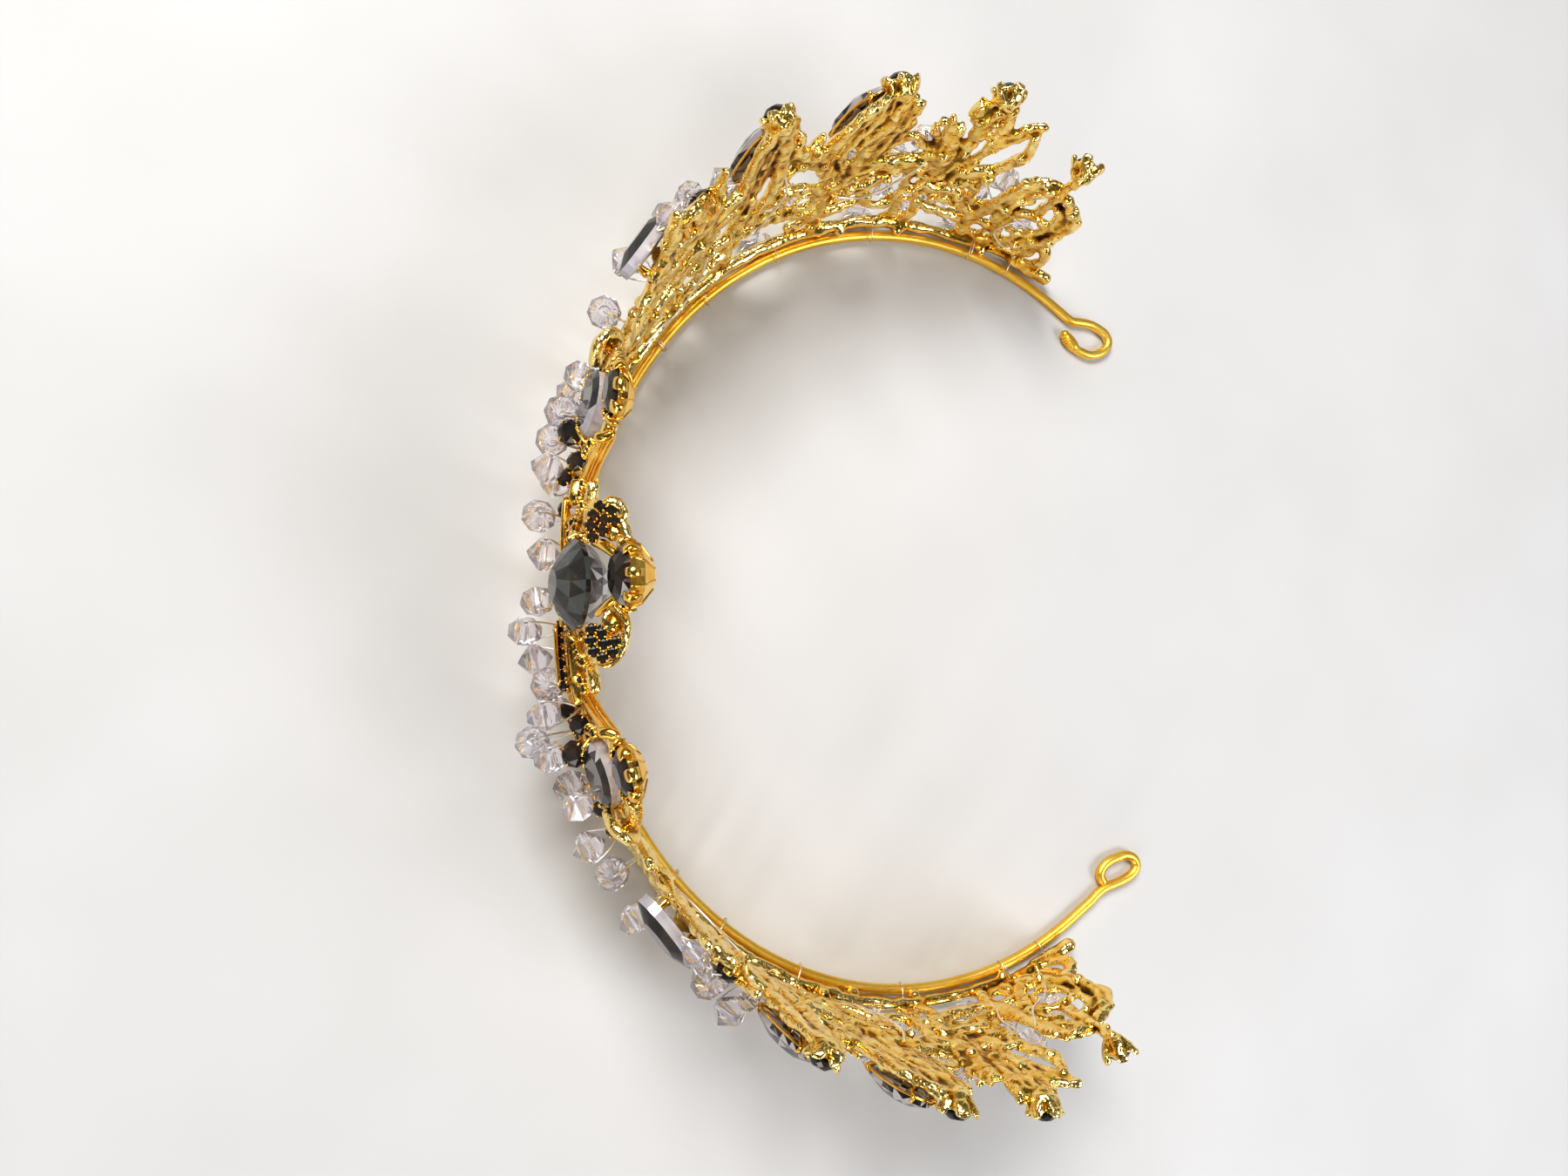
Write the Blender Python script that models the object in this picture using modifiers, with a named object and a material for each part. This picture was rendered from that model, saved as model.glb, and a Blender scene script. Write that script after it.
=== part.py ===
"""Gilt bridal tiara: open wire band with wired-on filigree castings, dark stones and crystal beads."""
import math

import bmesh
import bpy
import numpy as np
from mathutils import Matrix, Vector

for ob in list(bpy.data.objects):
    bpy.data.objects.remove(ob, do_unlink=True)

# ------------------------------------------------------------------ named sizes, millimetres
RING_A, RING_B, RING_YC = 70.4, 61.6, 24.0      # half width, half depth and centre of the oval band
WIRE_R = 0.9                                    # band wire, 1.8 mm thick
WALL_GAP = 2.45                                 # castings stand this far outside the wire's centre line
WALL_Z = 0.7                                    # lowest line of the castings above the table
SHIFT = (-0.25, -10.21, 0.0)                     # puts the middle of the bounding box over the origin

# how each half leans outward (mm per mm of height) along its length, and how it is shifted along the band
LEAN = {-1: ((0, 0.00), (20, 0.02), (30, 0.08), (45, 0.13), (60, 0.152), (125, 0.040), (136, 0.03)),
        +1: ((0, 0.00), (20, 0.02), (30, 0.04), (45, 0.05), (60, 0.043), (125, 0.107), (136, 0.11))}
SLIDE = {-1: ((0, 0.0), (20, 0.0), (60, 0.81), (136, 0.81)),
         +1: ((0, 0.0), (20, 0.0), (60, -0.6), (136, -0.6))}
SHEAR = {-1: 0.005, +1: 0.019}
BEND = {-1: ((0, 0.0), (136, 0.0)),              # finials of one half are bent along the band, most at their tips
        +1: ((60, 0.0), (69, 2.2), (88, 3.7), (98, 1.8), (104, 0.0), (112, -1.2), (122, -1.6), (136, -1.0))}

_ang = np.radians(np.linspace(-160.0, 160.0, 6401))
_rx, _ry = RING_A * np.sin(_ang), RING_YC - RING_B * np.cos(_ang)
_arc = np.concatenate([[0.0], np.cumsum(np.hypot(np.diff(_rx), np.diff(_ry)))])
_arc -= np.interp(0.0, _ang, _arc)


def ring(s):
    """Point and outward direction of the band's centre line at arc length s (0 = front)."""
    t = np.interp(s, _arc, _ang)
    nx, ny = np.sin(t) / RING_A, -np.cos(t) / RING_B
    k = np.hypot(nx, ny)
    return RING_A * np.sin(t), RING_YC - RING_B * np.cos(t), nx / k, ny / k


def table(pairs, x):
    return np.interp(x, [p[0] for p in pairs], [p[1] for p in pairs])


def wall(side, u, v, w=0.0):
    """Castings' own surface: u along the band from the front, v up, w outward."""
    au = np.abs(u)
    s = u + table(SLIDE[side], au) * np.sign(u) + SHEAR[side] * v * np.clip(u / 40.0, -1, 1)
    s = s + table(BEND[side], au) * np.sign(u) * np.clip(v / 44.0, 0, 1.3) ** 2
    x, y, nx, ny = ring(side * s)
    out = WALL_GAP + table(LEAN[side], au) * v + w
    return np.array([x + nx * out, y + ny * out, WALL_Z + v + 0.0 * u])


def unit(a):
    a = np.asarray(a, float)
    return a / max(np.linalg.norm(a), 1e-12)


def frame_at(side, u, v, tip=0.0, yaw=0.0, spin=0.0):
    """Axes (across, up, out) of the wall at (u, v); tip leans the face up, yaw turns it, spin turns it in its plane."""
    out = unit(wall(side, u, v, 1.0) - wall(side, u, v, 0.0))
    across = unit(wall(side, u + 0.5, v) - wall(side, u - 0.5, v))
    up = unit(np.cross(out, across)) * (1 if np.cross(out, across)[2] > 0 else -1)
    t, y = math.radians(tip), math.radians(yaw)
    out, up = out * math.cos(t) + up * math.sin(t), up * math.cos(t) - out * math.sin(t)
    out, across = out * math.cos(y) + across * math.sin(y), across * math.cos(y) - out * math.sin(y)
    s = math.radians(spin)
    across, up = across * math.cos(s) + up * math.sin(s), up * math.cos(s) - across * math.sin(s)
    return across, up, out


def smooth(rows, n):
    """Catmull-Rom through the rows, n steps a span."""
    P = np.asarray(rows, float)
    if len(P) == 2:
        t = np.linspace(0, 1, n + 1)[:, None]
        return P[0] * (1 - t) + P[1] * t
    Q = np.vstack([2 * P[0] - P[1], P, 2 * P[-1] - P[-2]])
    out = []
    for i in range(1, len(Q) - 2):
        for k in range(n):
            t = k / n
            out.append(0.5 * ((2 * Q[i]) + (Q[i + 1] - Q[i - 1]) * t
                              + (2 * Q[i - 1] - 5 * Q[i] + 4 * Q[i + 1] - Q[i + 2]) * t * t
                              + (3 * Q[i] - Q[i - 1] - 3 * Q[i + 1] + Q[i + 2]) * t ** 3))
    out.append(P[-1])
    return np.array(out)


def spread(val, m):
    """A number, or a short run of numbers, spread over m stations."""
    val = np.atleast_1d(np.asarray(val, float))
    return np.interp(np.linspace(0, 1, m), np.linspace(0, 1, len(val)), val) if len(val) > 1 else np.full(m, val[0])


def skin(rings, closed=False):
    """Joins equal rings of points into one closed mesh."""
    n, k = len(rings), len(rings[0])
    verts = [tuple(p) for r in rings for p in r]
    faces = []
    for i in range(n if closed else n - 1):
        a, b = i * k, ((i + 1) % n) * k
        for j in range(k):
            faces.append((a + j, a + (j + 1) % k, b + (j + 1) % k, b + j))
    if not closed:
        faces.append(tuple(range(k - 1, -1, -1)))
        faces.append(tuple(range((n - 1) * k, n * k)))
    return verts, faces


def sweep(path, normals, a, b, sides, closed=False, phase=0.5):
    """Tube of half width a and half thickness b along a path; normals give the thickness direction."""
    path = np.asarray(path, float)
    m = len(path)
    a, b = spread(a, m), spread(b, m)
    tan = (np.roll(path, -1, 0) - np.roll(path, 1, 0)) if closed else np.gradient(path, axis=0)
    rings = []
    for i in range(m):
        t = unit(tan[i])
        side = unit(np.cross(t, normals[i]))
        nor = np.cross(side, t)
        rings.append([path[i] + side * a[i] * math.cos(2 * math.pi * (j + phase) / sides)
                      + nor * b[i] * math.sin(2 * math.pi * (j + phase) / sides) for j in range(sides)])
    return skin(rings, closed)


def strand(side, pts, a, b, sides=4, n=2):
    """Bar or leaf of a casting: pts are (u, v) or (u, v, w) on the wall."""
    rows = np.array([tuple(p) + (0.0,) * (3 - len(p)) for p in pts], float)
    rows = smooth(rows, n)
    path = [wall(side, *r) for r in rows]
    nor = [unit(wall(side, r[0], r[1], r[2] + 1.0) - wall(side, *r)) for r in rows]
    return sweep(path, nor, a, b, sides)


def loop(side, u, v, w, ru, rv, a, b, spin=0.0, sides=4, n=10):
    """Open ring of a casting around (u, v)."""
    s = math.radians(spin)
    rows = []
    for i in range(n):
        f = 2 * math.pi * i / n
        x, y = ru * math.cos(f), rv * math.sin(f)
        rows.append((u + x * math.cos(s) - y * math.sin(s), v + x * math.sin(s) + y * math.cos(s), w))
    path = [wall(side, *r) for r in rows]
    nor = [unit(wall(side, r[0], r[1], r[2] + 1.0) - wall(side, *r)) for r in rows]
    return sweep(path, nor, a, b, sides, closed=True)


# ------------------------------------------------------------------ design of the castings
# bars and leaves: (points on the wall, half widths along the way, half thickness)
WING = [
    # lower rail and its three swags
    ([(34.5, 2.2), (41, 1.6), (49, 2.4), (57, 1.7), (66, 2.3), (74, 1.3), (83, 2.0), (89, 0.9)], (1.3, 1.3), 0.95),
    ([(64.5, 5.4), (70, 3.4), (76, 3.0), (81, 4.6), (84.8, 9.2)], (1.7, 1.9, 1.6), 1.1),
    ([(85.5, 7.6), (88.6, 3.6), (93.5, 1.9), (98.6, 2.9), (102.6, 7.4)], (1.5, 1.9, 1.5), 1.0),
    ([(102.2, 6.6), (105.0, 2.6), (109.0, 1.0), (113.2, 2.0), (116.4, 3.6)], (1.4, 1.3, 1.2), 1.1),
    ([(115.2, 2.6), (121.0, 1.9), (126.0, 1.7), (133.4, 2.0)], (1.2, 1.4, 1.9), 0.9),
    # second tier
    ([(52.0, 12.5), (58, 14.2), (63.5, 13.6), (69, 11.9), (75, 11.0), (80, 11.2), (85.6, 13.6)], (1.5, 1.6), 1.0),
    ([(84.6, 12.4), (88.6, 9.8), (93.4, 8.9), (98.4, 9.6), (102.4, 11.9)], (1.5, 1.5), 1.1),
    ([(101.6, 10.8), (105.2, 8.9), (109.2, 8.6), (113.6, 10.6)], (1.2, 1.2), 0.95),
    # band of scrolls under the first two finials
    ([(68.0, 20.6), (73.6, 20.2), (78.4, 19.6), (82.6, 16.4), (84.6, 12.0)], (1.4, 1.3), 1.1),
    ([(66.6, 27.6), (71.5, 29.6), (76.0, 29.2), (79.8, 26.6), (82.8, 21.8), (85.6, 15.6)], (1.7, 1.4), 1.0),
    # stems that tie the tiers together
    ([(66.4, 2.6), (67.2, 9.0), (66.0, 15.0), (66.8, 22.0), (67.8, 30.0)], (1.6, 1.3, 1.7), 1.0),
    ([(86.2, 6.6), (86.4, 13.0), (86.8, 20.0), (87.0, 27.0)], (1.5, 2.3, 2.4), 1.15),
    ([(102.6, 4.6), (102.4, 12.0), (103.0, 19.0), (103.6, 27.0)], (1.5, 1.7, 2.3), 1.05),
    ([(54.0, 1.6), (53.0, 8.0), (54.0, 15.0), (57.5, 21.0), (62.0, 27.5)], (1.4, 1.5), 1.0),
    ([(115.6, 3.6), (116.6, 10.0), (115.8, 16.6), (116.2, 22.0), (118.0, 26.0)], (1.2, 1.4, 1.2), 1.05),
    # first finial: broad leaf with a shoulder on each side
    ([(65.0, 22.6), (66.4, 29.0), (67.8, 35.6), (69.2, 41.4, -0.2), (69.4, 47.2, -0.6)], (2.6, 4.4, 3.9, 2.9, 1.0), 1.15),
    ([(62.4, 27.0), (61.0, 32.0), (60.6, 36.0), (61.6, 40.2)], (2.4, 1.9, 0.6), 1.0),
    ([(70.0, 32.0), (74.2, 33.6), (79.4, 30.6), (84.0, 27.0)], (3.0, 1.9, 1.6), 1.0),
    # second finial: cup on a ridged heart-shaped leaf
    ([(86.4, 22.0), (83.0, 27.2), (82.0, 32.6), (83.8, 37.6), (87.4, 41.6)], (1.6, 2.2, 1.7), 1.1),
    ([(87.4, 22.0), (92.0, 27.0), (92.6, 33.0), (91.2, 38.0), (88.4, 42.0)], (1.6, 2.2, 1.7), 1.0),
    ([(86.8, 28.0), (87.2, 34.0), (87.6, 40.0, -0.2), (88.0, 46.8, -0.6)], (2.2, 3.4, 3.1, 1.0), 1.2),
    ([(91.0, 25.0), (95.2, 24.0), (98.6, 22.0), (102.0, 20.6)], (1.5, 1.2), 0.95),
    # third finial: slender pronged spray
    ([(102.8, 18.0), (101.4, 25.0), (101.2, 32.0), (102.4, 38.4), (104.4, 43.6)], (1.4, 1.2, 1.6), 1.1),
    ([(103.4, 18.0), (105.8, 25.0), (106.8, 32.0), (106.4, 38.0), (104.8, 43.4)], (1.4, 1.3, 1.6), 1.0),
    ([(104.2, 36.6), (104.5, 41.0, -0.2), (104.2, 46.6, -0.5)], (2.2, 2.9, 0.8), 1.2),
    ([(101.6, 30.0), (98.9, 33.0), (97.4, 37.0)], (1.3, 1.2, 0.4), 0.9),
    ([(101.8, 35.0), (100.2, 38.6), (99.8, 42.6)], (1.2, 1.2, 0.5), 1.0),
    # side leaf between the third finial and the end
    ([(105.6, 27.0), (107.6, 33.0), (109.8, 37.2), (111.8, 40.6)], (1.3, 1.3, 1.0), 1.0),
    ([(111.0, 38.6), (112.2, 33.4), (110.6, 28.0), (107.4, 23.6), (104.0, 21.0)], (0.9, 1.3, 1.3), 0.95),
    ([(104.0, 17.6), (108.4, 18.4), (111.0, 15.0), (113.6, 10.0), (116.0, 7.6)], (1.4, 1.3, 1.2), 1.05),
    ([(110.6, 24.8), (112.4, 19.8), (114.0, 15.0), (116.4, 12.6)], (1.0, 1.0), 0.95),
    # end group: leaves, arch and the last cup on its neck
    ([(115.8, 15.0), (115.4, 20.0), (116.2, 26.4)], (1.2, 1.7, 0.9), 1.2),
    ([(116.6, 24.4), (120.0, 27.4), (124.2, 26.2), (127.2, 22.4), (127.4, 16.6), (125.4, 11.0), (121.6, 7.0)], (1.1, 1.5, 1.3), 1.0),
    ([(117.0, 15.6), (121.2, 17.6), (126.8, 15.6)], (1.1, 1.2), 1.1),
    ([(122.0, 25.0), (122.6, 29.0, -0.2), (122.4, 34.4, -0.7)], (1.5, 1.0, 1.7), 1.1),
    ([(121.0, 1.6), (121.6, 5.0), (121.0, 8.0), (117.4, 9.6)], (1.2, 1.2), 1.1),
    ([(122.0, 1.8), (127.2, 3.0), (128.6, 7.2), (126.0, 11.0)], (1.1, 1.1), 0.95),
    # shoulder towards the front
    ([(35.2, 2.6), (36.6, 9.0), (36.0, 16.0), (37.4, 24.0), (40.2, 30.4)], (1.4, 1.8, 1.6), 1.0),
    ([(37.0, 22.0), (42.0, 25.4), (47.0, 29.6), (49.6, 36.0), (50.2, 44.6)], (1.6, 2.2, 3.0, 0.9), 1.15),
    ([(43.6, 1.8), (44.6, 9.0), (47.4, 16.0), (49.4, 24.0), (49.6, 33.0)], (1.4, 1.7, 1.8), 1.0),
    ([(49.6, 32.0), (54.6, 29.6), (59.4, 27.4), (64.8, 27.6)], (1.8, 1.8), 1.1),
    ([(36.2, 12.0), (41.6, 13.8), (47.0, 12.4), (53.6, 12.8)], (1.5, 1.5), 0.95),
    ([(49.6, 25.0, 0.0), (49.4, 28.6, 0.4), (49.2, 32.0, 0.9)], (1.4, 1.4), 1.1),
    ([(50.4, 18.6), (56.0, 20.4), (61.6, 19.4), (67.2, 20.6)], (1.4, 1.4), 0.95),
]
WING_LOOPS = [   # centre u, v, half width, half height, bar half width, spin
    (85.2, 3.6, 1.9, 1.7, 0.75, 0), (116.6, 6.6, 2.2, 2.2, 0.8, 0), (79.0, 15.6, 2.9, 1.9, 0.7, -40),
    (98.9, 14.6, 2.3, 2.3, 0.75, 0), (99.0, 22.6, 1.9, 1.8, 0.7, 0),
]
CENTRE_RAILS = [ # front casting: rails, drawn for one half and carried across the middle
    ([(0, 2.4), (6, 1.6), (12, 2.2), (18.6, 1.8)], (1.4, 1.3), 0.95),
    ([(0, 24.0), (6.0, 23.0), (12.0, 24.2), (18.6, 22.8)], (1.5, 1.3), 1.1),
]
CENTRE = [       # and its scrolls, leaves and curled leaves, one of each on both sides
    ([(1.6, 2.4), (2.2, 8.4), (5.4, 13.0), (9.2, 12.2), (10.2, 8.6), (8.0, 6.8)], (1.3, 1.7, 1.3, 0.9), 1.0),
    ([(18.0, 2.2), (14.6, 6.6), (13.2, 12.4), (15.2, 18.4), (17.8, 22.6)], (1.2, 2.1, 2.2, 1.2), 0.95),
    ([(1.8, 7.0), (1.4, 12.6), (3.4, 17.8), (7.8, 20.2), (11.6, 23.6)], (1.1, 1.5, 2.1, 1.2), 1.1),
    ([(9.4, 12.0), (12.0, 15.6), (10.6, 20.0), (7.4, 23.4)], (1.0, 1.8, 1.2), 1.0),
    ([(1.9, 17.0), (0.9, 20.4), (2.2, 23.8)], (0.9, 1.5, 0.9), 0.95),
    ([(3.0, 23.0), (7.2, 28.4), (9.2, 35.0), (9.0, 40.6)], (1.6, 1.6, 1.7), 1.0),
    ([(9.4, 37.6, 0.2), (9.9, 41.6, -0.7), (8.0, 45.0, -2.2), (4.8, 47.6, -3.7)], (1.4, 2.5, 2.2, 1.3), 1.0),
    ([(14.6, 23.6), (11.6, 27.0), (11.8, 31.4), (14.2, 33.6)], (1.6, 2.2, 0.9), 1.0),
]
FLANK = [        # flank casting, drawn about its own middle
    ([(19.4, 2.0), (26.5, 1.4), (33.6, 2.0)], (1.3, 1.3), 0.95),
    ([(19.6, 23.0), (26.5, 24.4), (33.8, 23.2)], (1.4, 1.6, 1.4), 1.1),
    ([(20.4, 2.2), (19.9, 8.8), (22.6, 13.6), (25.6, 12.4), (26.2, 8.4)], (1.2, 1.8, 1.3), 1.0),
    ([(32.8, 2.2), (33.2, 8.8), (30.4, 13.6), (27.4, 12.4), (26.8, 8.4)], (1.2, 1.8, 1.3), 0.95),
    ([(26.5, 1.8), (26.5, 5.6), (26.5, 10.0)], (1.0, 1.9, 1.0), 1.1),
    ([(22.2, 12.8), (20.9, 18.0), (22.4, 23.6)], (1.1, 1.7, 1.1), 1.05),
    ([(30.8, 12.8), (32.1, 18.0), (30.8, 23.6)], (1.1, 1.7, 1.1), 1.0),
    ([(26.5, 11.6), (26.5, 18.0), (26.5, 24.0)], (1.0, 2.4, 1.1), 0.95),
    ([(26.5, 23.0, -0.5), (26.5, 28.0, -2.3), (26.5, 34.0, -2.7), (26.5, 40.6, -2.2)], (1.6, 2.4, 2.2, 1.8), 0.85),
    ([(20.6, 23.4, 0.0), (19.5, 28.0, 0.2), (19.5, 33.6, 0.2), (21.4, 38.6, -0.6), (24.4, 41.6, -1.4)], (1.1, 1.1), 1.0),
    ([(32.4, 23.4, 0.0), (33.5, 28.0, 0.2), (33.5, 33.6, 0.2), (31.6, 38.6, -0.6), (28.6, 41.6, -1.4)], (1.1, 1.1), 1.0),
]
WING_CUPS = [    # setting: u, v, w, radius, depth, tip, spin
    (69.3, 44.0, 0.9, 2.3, 2.4, 10, 0), (87.9, 43.8, 0.9, 2.4, 2.5, 12, 0), (104.3, 43.3, 0.8, 2.3, 2.4, 10, 0),
    (122.2, 34.0, 0.2, 2.1, 2.6, 10, 0),
]
STONES = {       # name: (sides it is on, u, v, w, kind, half width, half height, crown, pavilion, tip, spin, facets)
    "centre": ((1,), 0.0, 35.8, 2.2, "oval", 6.6, 8.4, 3.2, 5.2, 6, 0, 12),
    "crest": ((1,), 0.0, 50.2, -2.7, "oval", 4.5, 4.5, 1.9, 1.3, 4, 0, 10),
    "flank_oval": ((-1, 1), 25.7, 31.6, 1.1, "oval", 4.9, 6.4, 2.2, 1.7, 4, 0, 10),
    "flank_round": ((-1, 1), 25.3, 43.0, 0.2, "oval", 3.6, 3.6, 1.2, 0.9, 4, 0, 10),
    "shoulder_navette": ((-1, 1), 48.8, 31.4, 3.4, "navette", 3.5, 6.8, 1.9, 1.5, 8, -100, 10),
    "first_navette": ((-1, 1), 68.8, 33.3, 2.7, "navette", 3.3, 8.0, 1.6, 1.1, -4, -14, 10),
    "second_navette": ((-1, 1), 85.1, 34.4, 2.7, "navette", 3.2, 7.2, 1.6, 1.1, -2, -11, 10),
    "first_round": ((-1, 1), 69.3, 44.0, 2.06, "oval", 1.9, 1.9, 0.9, 0.9, 10, 0, 8),
    "second_round": ((-1, 1), 87.9, 43.8, 2.09, "oval", 2.0, 2.0, 0.9, 0.9, 12, 0, 8),
    "third_round": ((-1, 1), 104.3, 43.3, 1.96, "oval", 1.9, 1.9, 0.9, 0.9, 10, 0, 8),
    "end_round": ((-1, 1), 122.2, 34.0, 1.42, "oval", 1.75, 1.75, 0.9, 0.9, 10, 0, 8),
}
BEADS = [        # photo order: side, arc u, height, outward offset from the band
    (-1, 31.0, 24, 8.5), (-1, 30.0, 17, 8.6), (-1, 25.8, 22, 9.3), (-1, 23.0, 15, 9.1), (-1, 17.6, 22, 9.0),
    (-1, 17.0, 14, 6.6), (-1, 11.0, 20, 8.9), (-1, 5.5, 22, 7.7), (1, 0.9, 18, 8.2), (1, 5.1, 21, 10.5),
    (1, 9.1, 18, 9.1), (1, 12.7, 23, 8.2), (1, 16.7, 24, 9.8), (1, 16.6, 14, 7.0), (1, 20.1, 17, 11.9),
    (1, 22.3, 23, 10.3), (1, 27.6, 15, 8.3), (1, 29.9, 22, 8.8), (1, 35.9, 20, 9.8), (1, 40.3, 22, 8.8),
    (1, 48.0, 18, 9.7), (1, 59.2, 25, 7.6), (1, 62.1, 17, 8.4), (1, 66.2, 20, 9.7),
    (-1, 41.5, 22, 9.9), (-1, 50.1, 20, 12.0), (-1, 56.3, 27, 10.9), (-1, 62.0, 22, 11.2), (-1, 67.6, 24, 10.4),
]
BEAD_R, BEAD_H = 2.75, 2.5                       # half width and half length of a bicone bead
BAND_ARC = (136.8, 138.0)                       # the oval runs this far round on each side, then the ends turn
HOOK_END = [(-58.0, 58.9), (-56.6, 61.2), (-56.1, 64.6), (-55.3, 67.3), (-52.8, 69.3), (-50.4, 67.4), (-49.9, 64.0),
            (-50.6, 62.3)]
KNOB = [(-51.2, 61.4, 1.2), (-52.1, 60.6, 1.45), (-53.0, 60.0, 1.35), (-53.6, 59.6, 0.8)]     # wrapped end: x, y, radius
LOOP_END = [(58.0, 59.3), (56.1, 61.5), (55.1, 63.4), (53.8, 67.6), (51.3, 70.1), (49.4, 68.0), (50.0, 65.2), (52.6, 62.3)]

# ------------------------------------------------------------------ tools
MM = 0.001
WHERE = Vector(SHIFT)

tiara = bpy.data.collections.new("tiara")
bpy.context.scene.collection.children.link(tiara)
cutters = bpy.data.collections.new("cutters")
bpy.context.scene.collection.children.link(cutters)
root = bpy.data.objects.new("tiara_root", None)
tiara.objects.link(root)


def material(name, colour, metallic, roughness):
    mat = bpy.data.materials.new(name)
    mat.use_nodes = True
    p = mat.node_tree.nodes["Principled BSDF"]
    p.inputs["Base Color"].default_value = (*colour, 1.0)
    p.inputs["Metallic"].default_value = metallic
    p.inputs["Roughness"].default_value = roughness
    return mat


def finish(ob, colour, metallic, roughness, round_edge=None):
    """Names a part's material, hangs it on the root and shades it."""
    ob.data.materials.clear()
    ob.data.materials.append(material(ob.name + "_mat", colour, metallic, roughness))
    ob.parent = root
    if round_edge and ob.type == "MESH":
        ob.data.shade_smooth()
        ob.data.set_sharp_from_angle(angle=math.radians(round_edge))
    return ob


def aside(ob):
    """A guide or an operand of a union: kept out of the render."""
    ob.hide_render = True
    ob.display_type = "WIRE"
    cutters.objects.link(ob)
    return ob


def point(p):
    return (Vector([float(c) for c in p]) + WHERE) * MM


def wire(name, pts, radii, resolution=0, tilt=0.0, twist="MINIMUM"):
    """Round bar through the points (mm): a POLY curve with a bevel and filled caps."""
    cu = bpy.data.curves.new(name, "CURVE")
    cu.dimensions, cu.twist_mode = "3D", twist
    cu.bevel_depth, cu.bevel_resolution, cu.use_fill_caps = MM, resolution, True
    sp = cu.splines.new("POLY")
    sp.points.add(len(pts) - 1)
    for q, p, r in zip(sp.points, pts, spread(radii, len(pts))):
        q.co = (*point(p), 1.0)
        q.radius, q.tilt = float(r), tilt
    return bpy.data.objects.new(name, cu)


def meshed(ob, name=None, weld=0.000002):
    """The same object as a mesh, with its caps welded."""
    if ob.name not in cutters.objects:
        aside(ob)
    bpy.context.view_layer.update()
    me = bpy.data.meshes.new_from_object(ob.evaluated_get(bpy.context.evaluated_depsgraph_get()))
    bm = bmesh.new()
    bm.from_mesh(me)
    if weld:
        bmesh.ops.remove_doubles(bm, verts=bm.verts[:], dist=weld)
    bmesh.ops.triangulate(bm, faces=bm.faces[:])
    bmesh.ops.recalc_face_normals(bm, faces=bm.faces[:])
    bm.to_mesh(me)
    bm.free()
    out = bpy.data.objects.new(name or ob.name, me)
    out.matrix_world = ob.matrix_world
    bpy.data.objects.remove(ob, do_unlink=True)
    me.materials.clear()
    return aside(out)


def leaf(name, side, pts, a, b):
    """Cast leaf: a loft of flat four-cornered sections whose width swells and tapers along the wall."""
    verts, faces = strand(side, pts, a, b, 4, 1 if len(pts) > 4 else 2)
    me = bpy.data.meshes.new(name)
    me.from_pydata([point(v) for v in verts], [], faces)
    return meshed(bpy.data.objects.new(name, me))


def bar(name, side, pts, a, b):
    """Cast bar of the openwork: a bevelled curve laid on the wall."""
    rows = smooth(pts, 1 if len(pts) > 3 else 2)
    return meshed(wire(name, [wall(side, *r) for r in rows], [(x + b) / 2 for x in np.atleast_1d(a)]))


def ringlet(name, side, u, v, ru, rv, r, spin, w=0.0, n=8):
    """Small open ring of the casting."""
    s = math.radians(spin)
    pts = []
    for i in range(n):
        f = 2 * math.pi * (i + 0.3) / n
        x, y = ru * math.cos(f), rv * math.sin(f)
        pts.append(wall(side, u + x * math.cos(s) - y * math.sin(s), v + x * math.sin(s) + y * math.cos(s), w))
    ob = wire(name, pts, r)
    ob.data.splines[0].use_cyclic_u = True
    return meshed(ob)


def turned(name, profile, steps):
    """Turned body: the profile (radius, height) runs down its outer side and a Screw carries it round."""
    me = bpy.data.meshes.new(name)
    me.from_pydata([(r * MM, 0.0, h * MM) for r, h in profile], [(i, i + 1) for i in range(len(profile) - 1)], [])
    ob = bpy.data.objects.new(name, me)
    mod = ob.modifiers.new("turn", "SCREW")
    mod.steps = mod.render_steps = steps
    mod.use_merge_vertices, mod.merge_threshold = True, 0.00001
    return ob


def place(ob, centre, axes, scale=(1.0, 1.0, 1.0)):
    """Stands the object's X, Y and Z along across, up and out at a point of the wall."""
    across, up, out = (Vector([float(c) for c in a]) for a in axes)
    if across.cross(up).dot(out) < 0:
        across = -across
    m = Matrix((across, up, out)).transposed().to_4x4()
    ob.matrix_world = Matrix.Translation(point(centre)) @ m @ Matrix.Diagonal((*scale, 1.0))
    return ob


def cup(name, side, u, v, w, r, depth, tip, spin, steps=8):
    """Setting: a flaring cup with a dished mouth."""
    ob = turned(name, [(0.0, -0.18 * depth), (0.86 * r, 0.30 * depth), (1.12 * r, 0.30 * depth),
                       (0.62 * r, -0.62 * depth), (0.0, -0.62 * depth)], steps)
    return meshed(place(ob, wall(side, u, v, w), frame_at(side, u, v, tip, 0.0, spin)))


def cradle(name, side, u, v, ru, rv, w, r):
    """Half ring under a large stone, open at the top."""
    turns = [math.radians(190 + 16 * i) for i in range(11)]
    return meshed(wire(name, [wall(side, u + ru * math.cos(f), v + rv * math.sin(f), w) for f in turns], r))


def survey(me):
    """Open or shared edges, number of bodies and volume of a mesh."""
    bm = bmesh.new()
    bm.from_mesh(me)
    bad = sum(1 for e in bm.edges if len(e.link_faces) != 2)
    bodies, left, volume = 0, set(bm.verts), bm.calc_volume()
    while left:
        reach = [left.pop()]
        while reach:
            near = {e.other_vert(q) for q in [reach.pop()] for e in q.link_edges} & left
            left -= near
            reach += near
        bodies += 1
    bm.free()
    return bad, bodies, volume


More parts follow.
